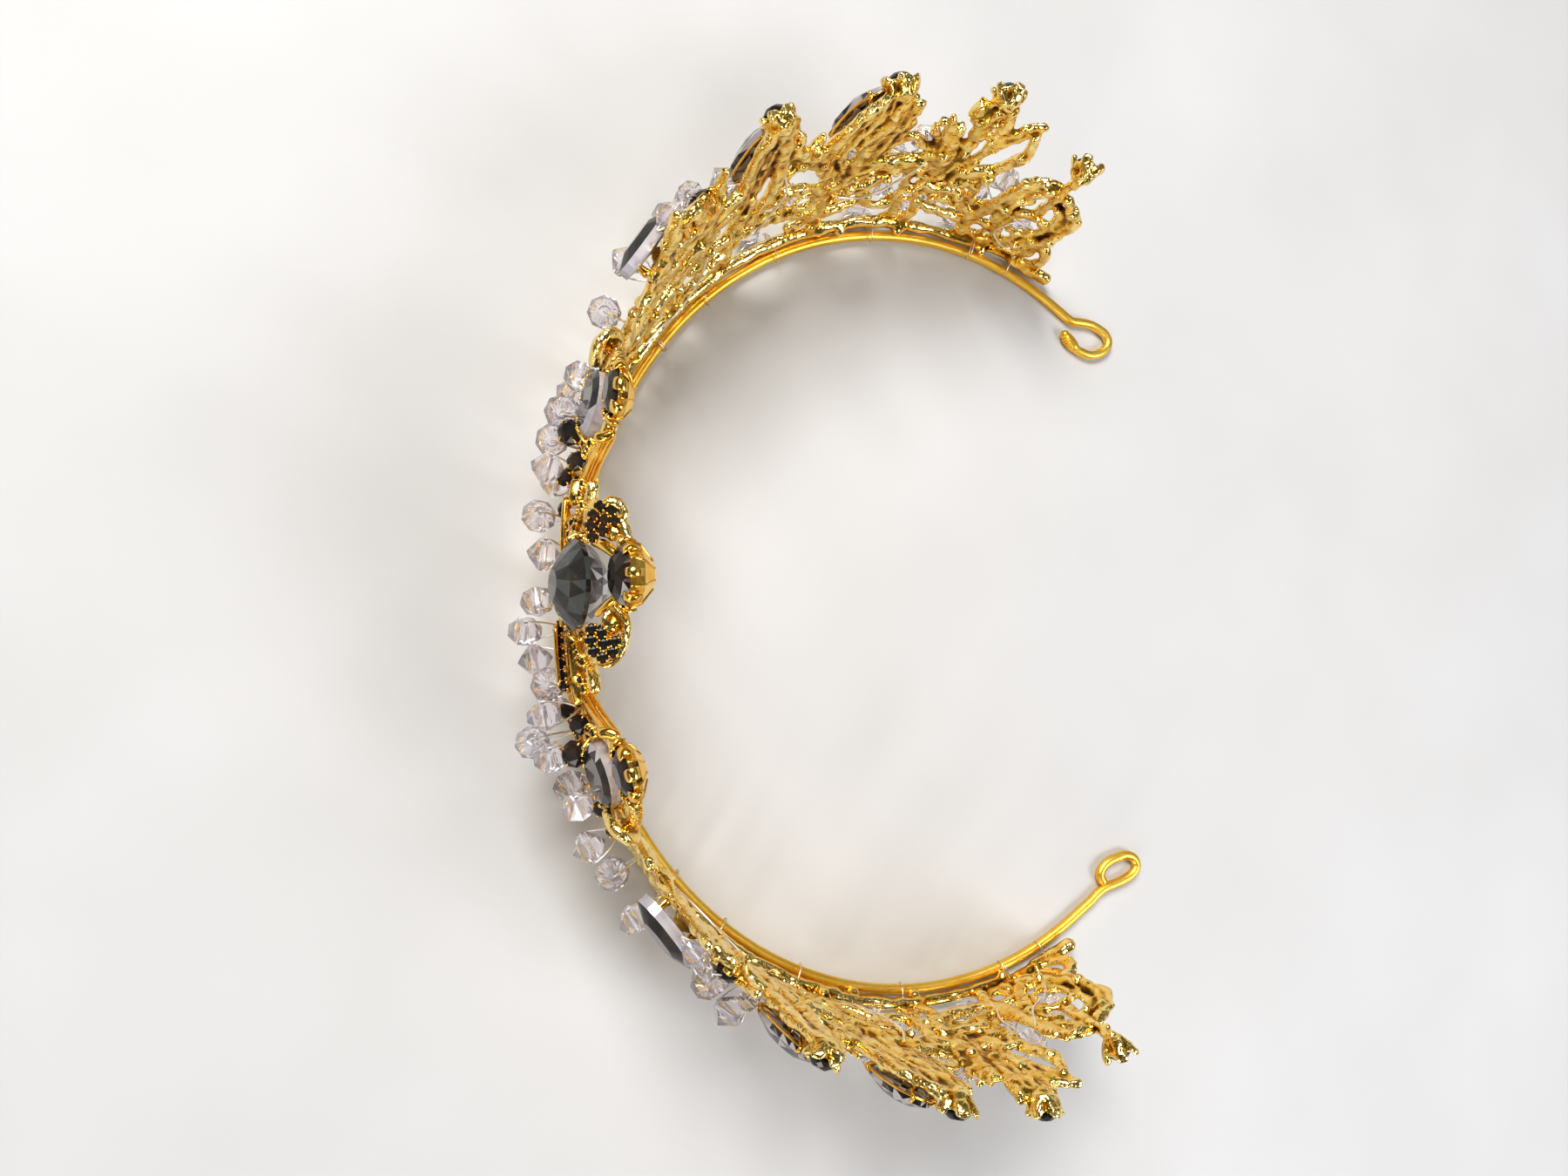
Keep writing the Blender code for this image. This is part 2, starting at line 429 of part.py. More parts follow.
def united(name, solids):
    """One casting out of many overlapping closed solids; one that won't join cleanly is nudged by some 0.02 mm."""
    base = solids[0]
    for other in solids[1:]:
        before = survey(base.data)[2]
        for attempt in range(8):
            work = aside(bpy.data.objects.new("join", base.data.copy()))
            mod = work.modifiers.new("join", "BOOLEAN")
            mod.operation, mod.solver, mod.object = "UNION", "EXACT", other
            work = meshed(work, "joined", 0.0)
            bad, bodies, volume = survey(work.data)
            if bad == 0 and volume > before * 0.9999:
                break
            bpy.data.objects.remove(work, do_unlink=True)
            work = None
            other.location += Vector((0.000013, -0.000007, 0.000017)) * (attempt + 1)
        bpy.data.objects.remove(other, do_unlink=True)
        if work:
            bpy.data.objects.remove(base, do_unlink=True)
            base = work
    for angle in (5.0, 3.0, 2.0, 1.5, 1.0, 0.6, 0.3, 0.1):      # thins out flat areas, as far as it stays closed
        me = base.data.copy()
        bm = bmesh.new()
        bm.from_mesh(me)
        bmesh.ops.dissolve_limit(bm, angle_limit=math.radians(angle), verts=bm.verts[:], edges=bm.edges[:])
        bmesh.ops.triangulate(bm, faces=bm.faces[:])
        bm.to_mesh(me)
        bm.free()
        if survey(me)[:2] == (0, 1):
            base.data = me
            break
    me = base.data
    bpy.data.objects.remove(base, do_unlink=True)
    ob = bpy.data.objects.new(name, me)
    tiara.objects.link(ob)
    return ob


GOLD = (0.83, 0.58, 0.18)
DARK = (0.05, 0.045, 0.045)
CLEAR = (0.85, 0.82, 0.86)


def layer(i):
    """Bars that cross lie at slightly different depths, as in a modelled casting."""
    return 0.11 * ((i * 7) % 5 - 2)


def pieces(tag, side, design, mirrored=1):
    out = []
    for i, (pts, a, b) in enumerate(design):
        pts = [(mirrored * p[0], p[1], p[2] if len(p) > 2 else layer(i) + 0.04 * (mirrored - 1)) for p in pts]
        make = leaf if len(a) > 2 else bar
        out.append(make("%s_%d" % (tag, i), side, pts, a, b))
    return out


# ------------------------------------------------------------------ band
def band():
    """Eight-sided wire, one facet flat on the table: knobbed hook at the left end, closed loop at the right."""
    arc = [(*ring(s)[:2], WIRE_R) for s in np.linspace(-BAND_ARC[0], BAND_ARC[1], 43)]
    hook = [(*p, WIRE_R) for p in smooth(list(reversed(HOOK_END)), 3)]
    eye = [(*p, WIRE_R) for p in smooth(LOOP_END, 3)]
    pts = list(reversed(KNOB)) + hook + arc + eye
    flat = math.cos(math.pi / 8)                                 # half height of an eight-sided wire on its facet
    return wire("band", [(x, y, r * flat) for x, y, r in pts], [r for _, _, r in pts], 2, math.radians(22.5), "Z_UP")


band_ob = band()
tiara.objects.link(band_ob)
finish(band_ob, GOLD, 1.0, 0.3)

# ------------------------------------------------------------------ castings
for side, tag in ((-1, "left"), (1, "right")):
    solids = pieces("wing", side, WING)
    solids += [ringlet("ringlet_%d" % i, side, u, v, ru + 0.4, rv + 0.4, k, spin)
               for i, (u, v, ru, rv, k, spin) in enumerate(WING_LOOPS)]
    solids += [cup("cup_%d" % i, side, *c) for i, c in enumerate(WING_CUPS)]
    finish(united("casting_wing_" + tag, solids), GOLD, 1.0, 0.35)

    solids = pieces("flank", side, FLANK)
    solids.append(cradle("flank_cradle", side, 25.7, 31.6, 6.1, 7.6, 0.6, 0.7))
    solids.append(cup("flank_cup", side, 25.3, 43.0, -1.7, 4.3, 3.6, 4, 0, 10))
    finish(united("casting_flank_" + tag, solids), GOLD, 1.0, 0.35)

rails = [([(-p[0], p[1]) for p in reversed(pts[1:])] + pts, a, b) for pts, a, b in CENTRE_RAILS]
solids = pieces("front_rail", 1, rails) + pieces("front_right", 1, CENTRE) + pieces("front_left", 1, CENTRE, -1)
solids.append(cradle("front_cradle", 1, 0.0, 35.8, 7.9, 9.6, 0.6, 0.85))
solids.append(cup("crest_cup", 1, 0.0, 50.2, -4.5, 5.3, 4.4, 4, 0, 10))
finish(united("casting_centre", solids), GOLD, 1.0, 0.35)

# ------------------------------------------------------------------ stones
for name, (sides, u, v, w, kind, a, b, crown, pavilion, tip, spin, steps) in STONES.items():
    for side in sides:
        tag = "" if len(sides) == 1 else ("_left" if side < 0 else "_right")
        ob = turned("stone_" + name + tag, [(0.0, crown), (0.55, crown), (1.0, 0.12), (1.0, -0.12), (0.0, -pavilion)], steps)
        place(ob, wall(side, u, v, w), frame_at(side, u, v, tip, 0.0, spin), (a, b, 1.0))
        tiara.objects.link(ob)
        finish(ob, DARK, 0.0, 0.05)

# ------------------------------------------------------------------ crystal beads on their wire stems
for i, (side, u, height, off) in enumerate(BEADS):
    x, y, nx, ny = ring(side * u)
    c = np.array([x + nx * off, y + ny * off, height])
    turn = 2.399 * i                                             # each bead hangs its own way round
    out = unit((nx, ny, 0.25))
    up = unit((-ny * math.cos(turn), nx * math.cos(turn), math.sin(turn) + 1.2))
    across = unit(np.cross(up, out))
    ob = turned("bead_%02d" % (i + 1), [(0.0, BEAD_H), (0.3 * BEAD_R, BEAD_H), (BEAD_R, 0.0), (0.3 * BEAD_R, -BEAD_H),
                                        (0.0, -BEAD_H)], 6)
    place(ob, c, (across, np.cross(up, across), up))
    foot = wall(side, u, height - WALL_Z, 1.9)
    stem = meshed(wire("stem_%02d" % (i + 1), [foot, c - unit(c - foot) * 0.6], 0.3))
    mod = ob.modifiers.new("stem", "BOOLEAN")
    mod.operation, mod.solver, mod.object = "UNION", "EXACT", stem
    tiara.objects.link(ob)
    finish(ob, CLEAR, 0.0, 0.02)
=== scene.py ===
"""Looks of the gilt bridal tiara: satin wire band, rough cast openwork, smoky stones, clear crystals and fine wires."""
import math
import random

import bmesh
import bpy
import numpy as np
from mathutils import Matrix, Vector


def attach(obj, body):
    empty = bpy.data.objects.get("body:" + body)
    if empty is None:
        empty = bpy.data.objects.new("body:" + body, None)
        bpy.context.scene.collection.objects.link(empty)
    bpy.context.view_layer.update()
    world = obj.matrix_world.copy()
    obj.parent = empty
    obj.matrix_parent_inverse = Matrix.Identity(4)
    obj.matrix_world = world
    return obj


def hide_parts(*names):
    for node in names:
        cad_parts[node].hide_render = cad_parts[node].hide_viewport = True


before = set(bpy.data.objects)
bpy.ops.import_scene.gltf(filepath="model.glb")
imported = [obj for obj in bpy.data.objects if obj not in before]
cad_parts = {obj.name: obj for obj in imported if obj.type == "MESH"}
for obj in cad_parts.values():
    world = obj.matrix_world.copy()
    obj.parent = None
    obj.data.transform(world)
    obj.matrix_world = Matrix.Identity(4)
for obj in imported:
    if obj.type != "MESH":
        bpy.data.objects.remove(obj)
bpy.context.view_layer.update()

# ------------------------------------------------------------------ named sizes, millimetres
RING_A, RING_B, RING_YC = 70.4, 61.6, 24.0      # half width, half depth and centre of the oval band
WIRE_R = 0.9                                    # band wire, 1.8 mm thick
WALL_GAP = 2.45                                 # castings stand this far outside the wire's centre line
WALL_Z = 0.7                                    # lowest line of the castings above the table
SHIFT = (-0.25, -10.21, 0.0)                     # puts the middle of the bounding box over the origin

# how each half leans outward (mm per mm of height) along its length, and how it is shifted along the band
LEAN = {-1: ((0, 0.00), (20, 0.02), (30, 0.08), (45, 0.13), (60, 0.152), (125, 0.040), (136, 0.03)),
        +1: ((0, 0.00), (20, 0.02), (30, 0.04), (45, 0.05), (60, 0.043), (125, 0.107), (136, 0.11))}
SLIDE = {-1: ((0, 0.0), (20, 0.0), (60, 0.81), (136, 0.81)),
         +1: ((0, 0.0), (20, 0.0), (60, -0.6), (136, -0.6))}
SHEAR = {-1: 0.005, +1: 0.019}
BEND = {-1: ((0, 0.0), (136, 0.0)),              # finials of one half are bent along the band, most at their tips
        +1: ((60, 0.0), (69, 2.2), (88, 3.7), (98, 1.8), (104, 0.0), (112, -1.2), (122, -1.6), (136, -1.0))}

_ang = np.radians(np.linspace(-160.0, 160.0, 6401))
_rx, _ry = RING_A * np.sin(_ang), RING_YC - RING_B * np.cos(_ang)
_arc = np.concatenate([[0.0], np.cumsum(np.hypot(np.diff(_rx), np.diff(_ry)))])
_arc -= np.interp(0.0, _ang, _arc)


def ring(s):
    """Point and outward direction of the band's centre line at arc length s (0 = front)."""
    t = np.interp(s, _arc, _ang)
    nx, ny = np.sin(t) / RING_A, -np.cos(t) / RING_B
    k = np.hypot(nx, ny)
    return RING_A * np.sin(t), RING_YC - RING_B * np.cos(t), nx / k, ny / k


def table(pairs, x):
    return np.interp(x, [p[0] for p in pairs], [p[1] for p in pairs])


def wall(side, u, v, w=0.0):
    """Castings' own surface: u along the band from the front, v up, w outward."""
    au = np.abs(u)
    s = u + table(SLIDE[side], au) * np.sign(u) + SHEAR[side] * v * np.clip(u / 40.0, -1, 1)
    s = s + table(BEND[side], au) * np.sign(u) * np.clip(v / 44.0, 0, 1.3) ** 2
    x, y, nx, ny = ring(side * s)
    out = WALL_GAP + table(LEAN[side], au) * v + w
    return np.array([x + nx * out, y + ny * out, WALL_Z + v + 0.0 * u])


def unit(a):
    a = np.asarray(a, float)
    return a / max(np.linalg.norm(a), 1e-12)


def frame_at(side, u, v, tip=0.0, yaw=0.0, spin=0.0):
    """Axes (across, up, out) of the wall at (u, v); tip leans the face up, yaw turns it, spin turns it in its plane."""
    out = unit(wall(side, u, v, 1.0) - wall(side, u, v, 0.0))
    across = unit(wall(side, u + 0.5, v) - wall(side, u - 0.5, v))
    up = unit(np.cross(out, across)) * (1 if np.cross(out, across)[2] > 0 else -1)
    t, y = math.radians(tip), math.radians(yaw)
    out, up = out * math.cos(t) + up * math.sin(t), up * math.cos(t) - out * math.sin(t)
    out, across = out * math.cos(y) + across * math.sin(y), across * math.cos(y) - out * math.sin(y)
    s = math.radians(spin)
    across, up = across * math.cos(s) + up * math.sin(s), up * math.cos(s) - across * math.sin(s)
    return across, up, out


def smooth(rows, n):
    """Catmull-Rom through the rows, n steps a span."""
    P = np.asarray(rows, float)
    if len(P) == 2:
        t = np.linspace(0, 1, n + 1)[:, None]
        return P[0] * (1 - t) + P[1] * t
    Q = np.vstack([2 * P[0] - P[1], P, 2 * P[-1] - P[-2]])
    out = []
    for i in range(1, len(Q) - 2):
        for k in range(n):
            t = k / n
            out.append(0.5 * ((2 * Q[i]) + (Q[i + 1] - Q[i - 1]) * t
                              + (2 * Q[i - 1] - 5 * Q[i] + 4 * Q[i + 1] - Q[i + 2]) * t * t
                              + (3 * Q[i] - Q[i - 1] - 3 * Q[i + 1] + Q[i + 2]) * t ** 3))
    out.append(P[-1])
    return np.array(out)


def spread(val, m):
    """A number, or a short run of numbers, spread over m stations."""
    val = np.atleast_1d(np.asarray(val, float))
    return np.interp(np.linspace(0, 1, m), np.linspace(0, 1, len(val)), val) if len(val) > 1 else np.full(m, val[0])


def skin(rings, closed=False):
    """Joins equal rings of points into one closed mesh."""
    n, k = len(rings), len(rings[0])
    verts = [tuple(p) for r in rings for p in r]
    faces = []
    for i in range(n if closed else n - 1):
        a, b = i * k, ((i + 1) % n) * k
        for j in range(k):
            faces.append((a + j, a + (j + 1) % k, b + (j + 1) % k, b + j))
    if not closed:
        faces.append(tuple(range(k - 1, -1, -1)))
        faces.append(tuple(range((n - 1) * k, n * k)))
    return verts, faces


def sweep(path, normals, a, b, sides, closed=False, phase=0.5):
    """Tube of half width a and half thickness b along a path; normals give the thickness direction."""
    path = np.asarray(path, float)
    m = len(path)
    a, b = spread(a, m), spread(b, m)
    tan = (np.roll(path, -1, 0) - np.roll(path, 1, 0)) if closed else np.gradient(path, axis=0)
    rings = []
    for i in range(m):
        t = unit(tan[i])
        side = unit(np.cross(t, normals[i]))
        nor = np.cross(side, t)
        rings.append([path[i] + side * a[i] * math.cos(2 * math.pi * (j + phase) / sides)
                      + nor * b[i] * math.sin(2 * math.pi * (j + phase) / sides) for j in range(sides)])
    return skin(rings, closed)


def strand(side, pts, a, b, sides=4, n=2):
    """Bar or leaf of a casting: pts are (u, v) or (u, v, w) on the wall."""
    rows = np.array([tuple(p) + (0.0,) * (3 - len(p)) for p in pts], float)
    rows = smooth(rows, n)
    path = [wall(side, *r) for r in rows]
    nor = [unit(wall(side, r[0], r[1], r[2] + 1.0) - wall(side, *r)) for r in rows]
    return sweep(path, nor, a, b, sides)


def loop(side, u, v, w, ru, rv, a, b, spin=0.0, sides=4, n=10):
    """Open ring of a casting around (u, v)."""
    s = math.radians(spin)
    rows = []
    for i in range(n):
        f = 2 * math.pi * i / n
        x, y = ru * math.cos(f), rv * math.sin(f)
        rows.append((u + x * math.cos(s) - y * math.sin(s), v + x * math.sin(s) + y * math.cos(s), w))
    path = [wall(side, *r) for r in rows]
    nor = [unit(wall(side, r[0], r[1], r[2] + 1.0) - wall(side, *r)) for r in rows]
    return sweep(path, nor, a, b, sides, closed=True)


def outline(kind, a, b, f):
    """Girdle outline of a stone at angle f."""
    c, s = math.cos(f), math.sin(f)
    if kind == "navette":                        # pointed at both ends, long way up
        return a * c * (abs(c) ** 0.25 if abs(c) > 1e-9 else 0.0), b * (abs(s) ** 0.8) * (1 if s >= 0 else -1)
    return a * c, b * s


def turned(centre, axes, profile, kind, a, b, sides, phase=0.5):
    """Body turned about 'out': profile rows are (scale of the outline, height along out)."""
    across, up, out = axes
    verts, rows = [], []
    for k, h in profile:
        base = centre + out * h
        if k < 1e-6:
            rows.append([len(verts)])
            verts.append(tuple(base))
        else:
            rows.append(list(range(len(verts), len(verts) + sides)))
            for j in range(sides):
                x, y = outline(kind, a, b, 2 * math.pi * (j + phase) / sides)
                verts.append(tuple(base + across * x * k + up * y * k))
    faces = []
    for p, q in zip(rows, rows[1:]):
        for j in range(sides):
            k = (j + 1) % sides
            if len(p) == 1:
                faces.append((p[0], q[j], q[k]))
            elif len(q) == 1:
                faces.append((p[j], q[0], p[k]))
            else:
                faces.append((p[j], q[j], q[k], p[k]))
    if len(rows[0]) > 1:
        faces.append(tuple(rows[0]))
    if len(rows[-1]) > 1:
        faces.append(tuple(reversed(rows[-1])))
    return verts, faces
# ------------------------------------------------------------------ design of the castings
# bars and leaves: (points on the wall, half widths along the way, half thickness)
WING = [
    # lower rail and its three swags
    ([(34.5, 2.2), (41, 1.6), (49, 2.4), (57, 1.7), (66, 2.3), (74, 1.3), (83, 2.0), (89, 0.9)], (1.3, 1.3), 0.95),
    ([(64.5, 5.4), (70, 3.4), (76, 3.0), (81, 4.6), (84.8, 9.2)], (1.7, 1.9, 1.6), 1.1),
    ([(85.5, 7.6), (88.6, 3.6), (93.5, 1.9), (98.6, 2.9), (102.6, 7.4)], (1.5, 1.9, 1.5), 1.0),
    ([(102.2, 6.6), (105.0, 2.6), (109.0, 1.0), (113.2, 2.0), (116.4, 3.6)], (1.4, 1.3, 1.2), 1.1),
    ([(115.2, 2.6), (121.0, 1.9), (126.0, 1.7), (133.4, 2.0)], (1.2, 1.4, 1.9), 0.9),
    # second tier
    ([(52.0, 12.5), (58, 14.2), (63.5, 13.6), (69, 11.9), (75, 11.0), (80, 11.2), (85.6, 13.6)], (1.5, 1.6), 1.0),
    ([(84.6, 12.4), (88.6, 9.8), (93.4, 8.9), (98.4, 9.6), (102.4, 11.9)], (1.5, 1.5), 1.1),
    ([(101.6, 10.8), (105.2, 8.9), (109.2, 8.6), (113.6, 10.6)], (1.2, 1.2), 0.95),
    # band of scrolls under the first two finials
    ([(68.0, 20.6), (73.6, 20.2), (78.4, 19.6), (82.6, 16.4), (84.6, 12.0)], (1.4, 1.3), 1.1),
    ([(66.6, 27.6), (71.5, 29.6), (76.0, 29.2), (79.8, 26.6), (82.8, 21.8), (85.6, 15.6)], (1.7, 1.4), 1.0),
    # stems that tie the tiers together
    ([(66.4, 2.6), (67.2, 9.0), (66.0, 15.0), (66.8, 22.0), (67.8, 30.0)], (1.6, 1.3, 1.7), 1.0),
    ([(86.2, 6.6), (86.4, 13.0), (86.8, 20.0), (87.0, 27.0)], (1.5, 2.3, 2.4), 1.15),
    ([(102.6, 4.6), (102.4, 12.0), (103.0, 19.0), (103.6, 27.0)], (1.5, 1.7, 2.3), 1.05),
    ([(54.0, 1.6), (53.0, 8.0), (54.0, 15.0), (57.5, 21.0), (62.0, 27.5)], (1.4, 1.5), 1.0),
    ([(115.6, 3.6), (116.6, 10.0), (115.8, 16.6), (116.2, 22.0), (118.0, 26.0)], (1.2, 1.4, 1.2), 1.05),
    # first finial: broad leaf with a shoulder on each side
    ([(65.0, 22.6), (66.4, 29.0), (67.8, 35.6), (69.2, 41.4, -0.2), (69.4, 47.2, -0.6)], (2.6, 4.4, 3.9, 2.9, 1.0), 1.15),
    ([(62.4, 27.0), (61.0, 32.0), (60.6, 36.0), (61.6, 40.2)], (2.4, 1.9, 0.6), 1.0),
    ([(70.0, 32.0), (74.2, 33.6), (79.4, 30.6), (84.0, 27.0)], (3.0, 1.9, 1.6), 1.0),
    # second finial: cup on a ridged heart-shaped leaf
    ([(86.4, 22.0), (83.0, 27.2), (82.0, 32.6), (83.8, 37.6), (87.4, 41.6)], (1.6, 2.2, 1.7), 1.1),
    ([(87.4, 22.0), (92.0, 27.0), (92.6, 33.0), (91.2, 38.0), (88.4, 42.0)], (1.6, 2.2, 1.7), 1.0),
    ([(86.8, 28.0), (87.2, 34.0), (87.6, 40.0, -0.2), (88.0, 46.8, -0.6)], (2.2, 3.4, 3.1, 1.0), 1.2),
    ([(91.0, 25.0), (95.2, 24.0), (98.6, 22.0), (102.0, 20.6)], (1.5, 1.2), 0.95),
    # third finial: slender pronged spray
    ([(102.8, 18.0), (101.4, 25.0), (101.2, 32.0), (102.4, 38.4), (104.4, 43.6)], (1.4, 1.2, 1.6), 1.1),
    ([(103.4, 18.0), (105.8, 25.0), (106.8, 32.0), (106.4, 38.0), (104.8, 43.4)], (1.4, 1.3, 1.6), 1.0),
    ([(104.2, 36.6), (104.5, 41.0, -0.2), (104.2, 46.6, -0.5)], (2.2, 2.9, 0.8), 1.2),
    ([(101.6, 30.0), (98.9, 33.0), (97.4, 37.0)], (1.3, 1.2, 0.4), 0.9),
    ([(101.8, 35.0), (100.2, 38.6), (99.8, 42.6)], (1.2, 1.2, 0.5), 1.0),
    # side leaf between the third finial and the end
    ([(105.6, 27.0), (107.6, 33.0), (109.8, 37.2), (111.8, 40.6)], (1.3, 1.3, 1.0), 1.0),
    ([(111.0, 38.6), (112.2, 33.4), (110.6, 28.0), (107.4, 23.6), (104.0, 21.0)], (0.9, 1.3, 1.3), 0.95),
    ([(104.0, 17.6), (108.4, 18.4), (111.0, 15.0), (113.6, 10.0), (116.0, 7.6)], (1.4, 1.3, 1.2), 1.05),
    ([(110.6, 24.8), (112.4, 19.8), (114.0, 15.0), (116.4, 12.6)], (1.0, 1.0), 0.95),
    # end group: leaves, arch and the last cup on its neck
    ([(115.8, 15.0), (115.4, 20.0), (116.2, 26.4)], (1.2, 1.7, 0.9), 1.2),
    ([(116.6, 24.4), (120.0, 27.4), (124.2, 26.2), (127.2, 22.4), (127.4, 16.6), (125.4, 11.0), (121.6, 7.0)], (1.1, 1.5, 1.3), 1.0),
    ([(117.0, 15.6), (121.2, 17.6), (126.8, 15.6)], (1.1, 1.2), 1.1),
    ([(122.0, 25.0), (122.6, 29.0, -0.2), (122.4, 34.4, -0.7)], (1.5, 1.0, 1.7), 1.1),
    ([(121.0, 1.6), (121.6, 5.0), (121.0, 8.0), (117.4, 9.6)], (1.2, 1.2), 1.1),
    ([(122.0, 1.8), (127.2, 3.0), (128.6, 7.2), (126.0, 11.0)], (1.1, 1.1), 0.95),
    # shoulder towards the front
    ([(35.2, 2.6), (36.6, 9.0), (36.0, 16.0), (37.4, 24.0), (40.2, 30.4)], (1.4, 1.8, 1.6), 1.0),
    ([(37.0, 22.0), (42.0, 25.4), (47.0, 29.6), (49.6, 36.0), (50.2, 44.6)], (1.6, 2.2, 3.0, 0.9), 1.15),
    ([(43.6, 1.8), (44.6, 9.0), (47.4, 16.0), (49.4, 24.0), (49.6, 33.0)], (1.4, 1.7, 1.8), 1.0),
    ([(49.6, 32.0), (54.6, 29.6), (59.4, 27.4), (64.8, 27.6)], (1.8, 1.8), 1.1),
    ([(36.2, 12.0), (41.6, 13.8), (47.0, 12.4), (53.6, 12.8)], (1.5, 1.5), 0.95),
    ([(49.6, 25.0, 0.0), (49.4, 28.6, 0.4), (49.2, 32.0, 0.9)], (1.4, 1.4), 1.1),
    ([(50.4, 18.6), (56.0, 20.4), (61.6, 19.4), (67.2, 20.6)], (1.4, 1.4), 0.95),
]
WING_LOOPS = [   # centre u, v, half width, half height, bar half width, spin
    (85.2, 3.6, 1.9, 1.7, 0.75, 0), (116.6, 6.6, 2.2, 2.2, 0.8, 0), (79.0, 15.6, 2.9, 1.9, 0.7, -40),
    (98.9, 14.6, 2.3, 2.3, 0.75, 0), (99.0, 22.6, 1.9, 1.8, 0.7, 0),
]
CENTRE_RAILS = [ # front casting: rails, drawn for one half and carried across the middle
    ([(0, 2.4), (6, 1.6), (12, 2.2), (18.6, 1.8)], (1.4, 1.3), 0.95),
    ([(0, 24.0), (6.0, 23.0), (12.0, 24.2), (18.6, 22.8)], (1.5, 1.3), 1.1),
]
CENTRE = [       # and its scrolls, leaves and curled leaves, one of each on both sides
    ([(1.6, 2.4), (2.2, 8.4), (5.4, 13.0), (9.2, 12.2), (10.2, 8.6), (8.0, 6.8)], (1.3, 1.7, 1.3, 0.9), 1.0),
    ([(18.0, 2.2), (14.6, 6.6), (13.2, 12.4), (15.2, 18.4), (17.8, 22.6)], (1.2, 2.1, 2.2, 1.2), 0.95),
    ([(1.8, 7.0), (1.4, 12.6), (3.4, 17.8), (7.8, 20.2), (11.6, 23.6)], (1.1, 1.5, 2.1, 1.2), 1.1),
    ([(9.4, 12.0), (12.0, 15.6), (10.6, 20.0), (7.4, 23.4)], (1.0, 1.8, 1.2), 1.0),
    ([(1.9, 17.0), (0.9, 20.4), (2.2, 23.8)], (0.9, 1.5, 0.9), 0.95),
    ([(3.0, 23.0), (7.2, 28.4), (9.2, 35.0), (9.0, 40.6)], (1.6, 1.6, 1.7), 1.0),
    ([(9.4, 37.6, 0.2), (9.9, 41.6, -0.7), (8.0, 45.0, -2.2), (4.8, 47.6, -3.7)], (1.4, 2.5, 2.2, 1.3), 1.0),
    ([(14.6, 23.6), (11.6, 27.0), (11.8, 31.4), (14.2, 33.6)], (1.6, 2.2, 0.9), 1.0),
]
FLANK = [        # flank casting, drawn about its own middle
    ([(19.4, 2.0), (26.5, 1.4), (33.6, 2.0)], (1.3, 1.3), 0.95),
    ([(19.6, 23.0), (26.5, 24.4), (33.8, 23.2)], (1.4, 1.6, 1.4), 1.1),
    ([(20.4, 2.2), (19.9, 8.8), (22.6, 13.6), (25.6, 12.4), (26.2, 8.4)], (1.2, 1.8, 1.3), 1.0),
    ([(32.8, 2.2), (33.2, 8.8), (30.4, 13.6), (27.4, 12.4), (26.8, 8.4)], (1.2, 1.8, 1.3), 0.95),
    ([(26.5, 1.8), (26.5, 5.6), (26.5, 10.0)], (1.0, 1.9, 1.0), 1.1),
    ([(22.2, 12.8), (20.9, 18.0), (22.4, 23.6)], (1.1, 1.7, 1.1), 1.05),
    ([(30.8, 12.8), (32.1, 18.0), (30.8, 23.6)], (1.1, 1.7, 1.1), 1.0),
    ([(26.5, 11.6), (26.5, 18.0), (26.5, 24.0)], (1.0, 2.4, 1.1), 0.95),
    ([(26.5, 23.0, -0.5), (26.5, 28.0, -2.3), (26.5, 34.0, -2.7), (26.5, 40.6, -2.2)], (1.6, 2.4, 2.2, 1.8), 0.85),
    ([(20.6, 23.4, 0.0), (19.5, 28.0, 0.2), (19.5, 33.6, 0.2), (21.4, 38.6, -0.6), (24.4, 41.6, -1.4)], (1.1, 1.1), 1.0),
    ([(32.4, 23.4, 0.0), (33.5, 28.0, 0.2), (33.5, 33.6, 0.2), (31.6, 38.6, -0.6), (28.6, 41.6, -1.4)], (1.1, 1.1), 1.0),
]
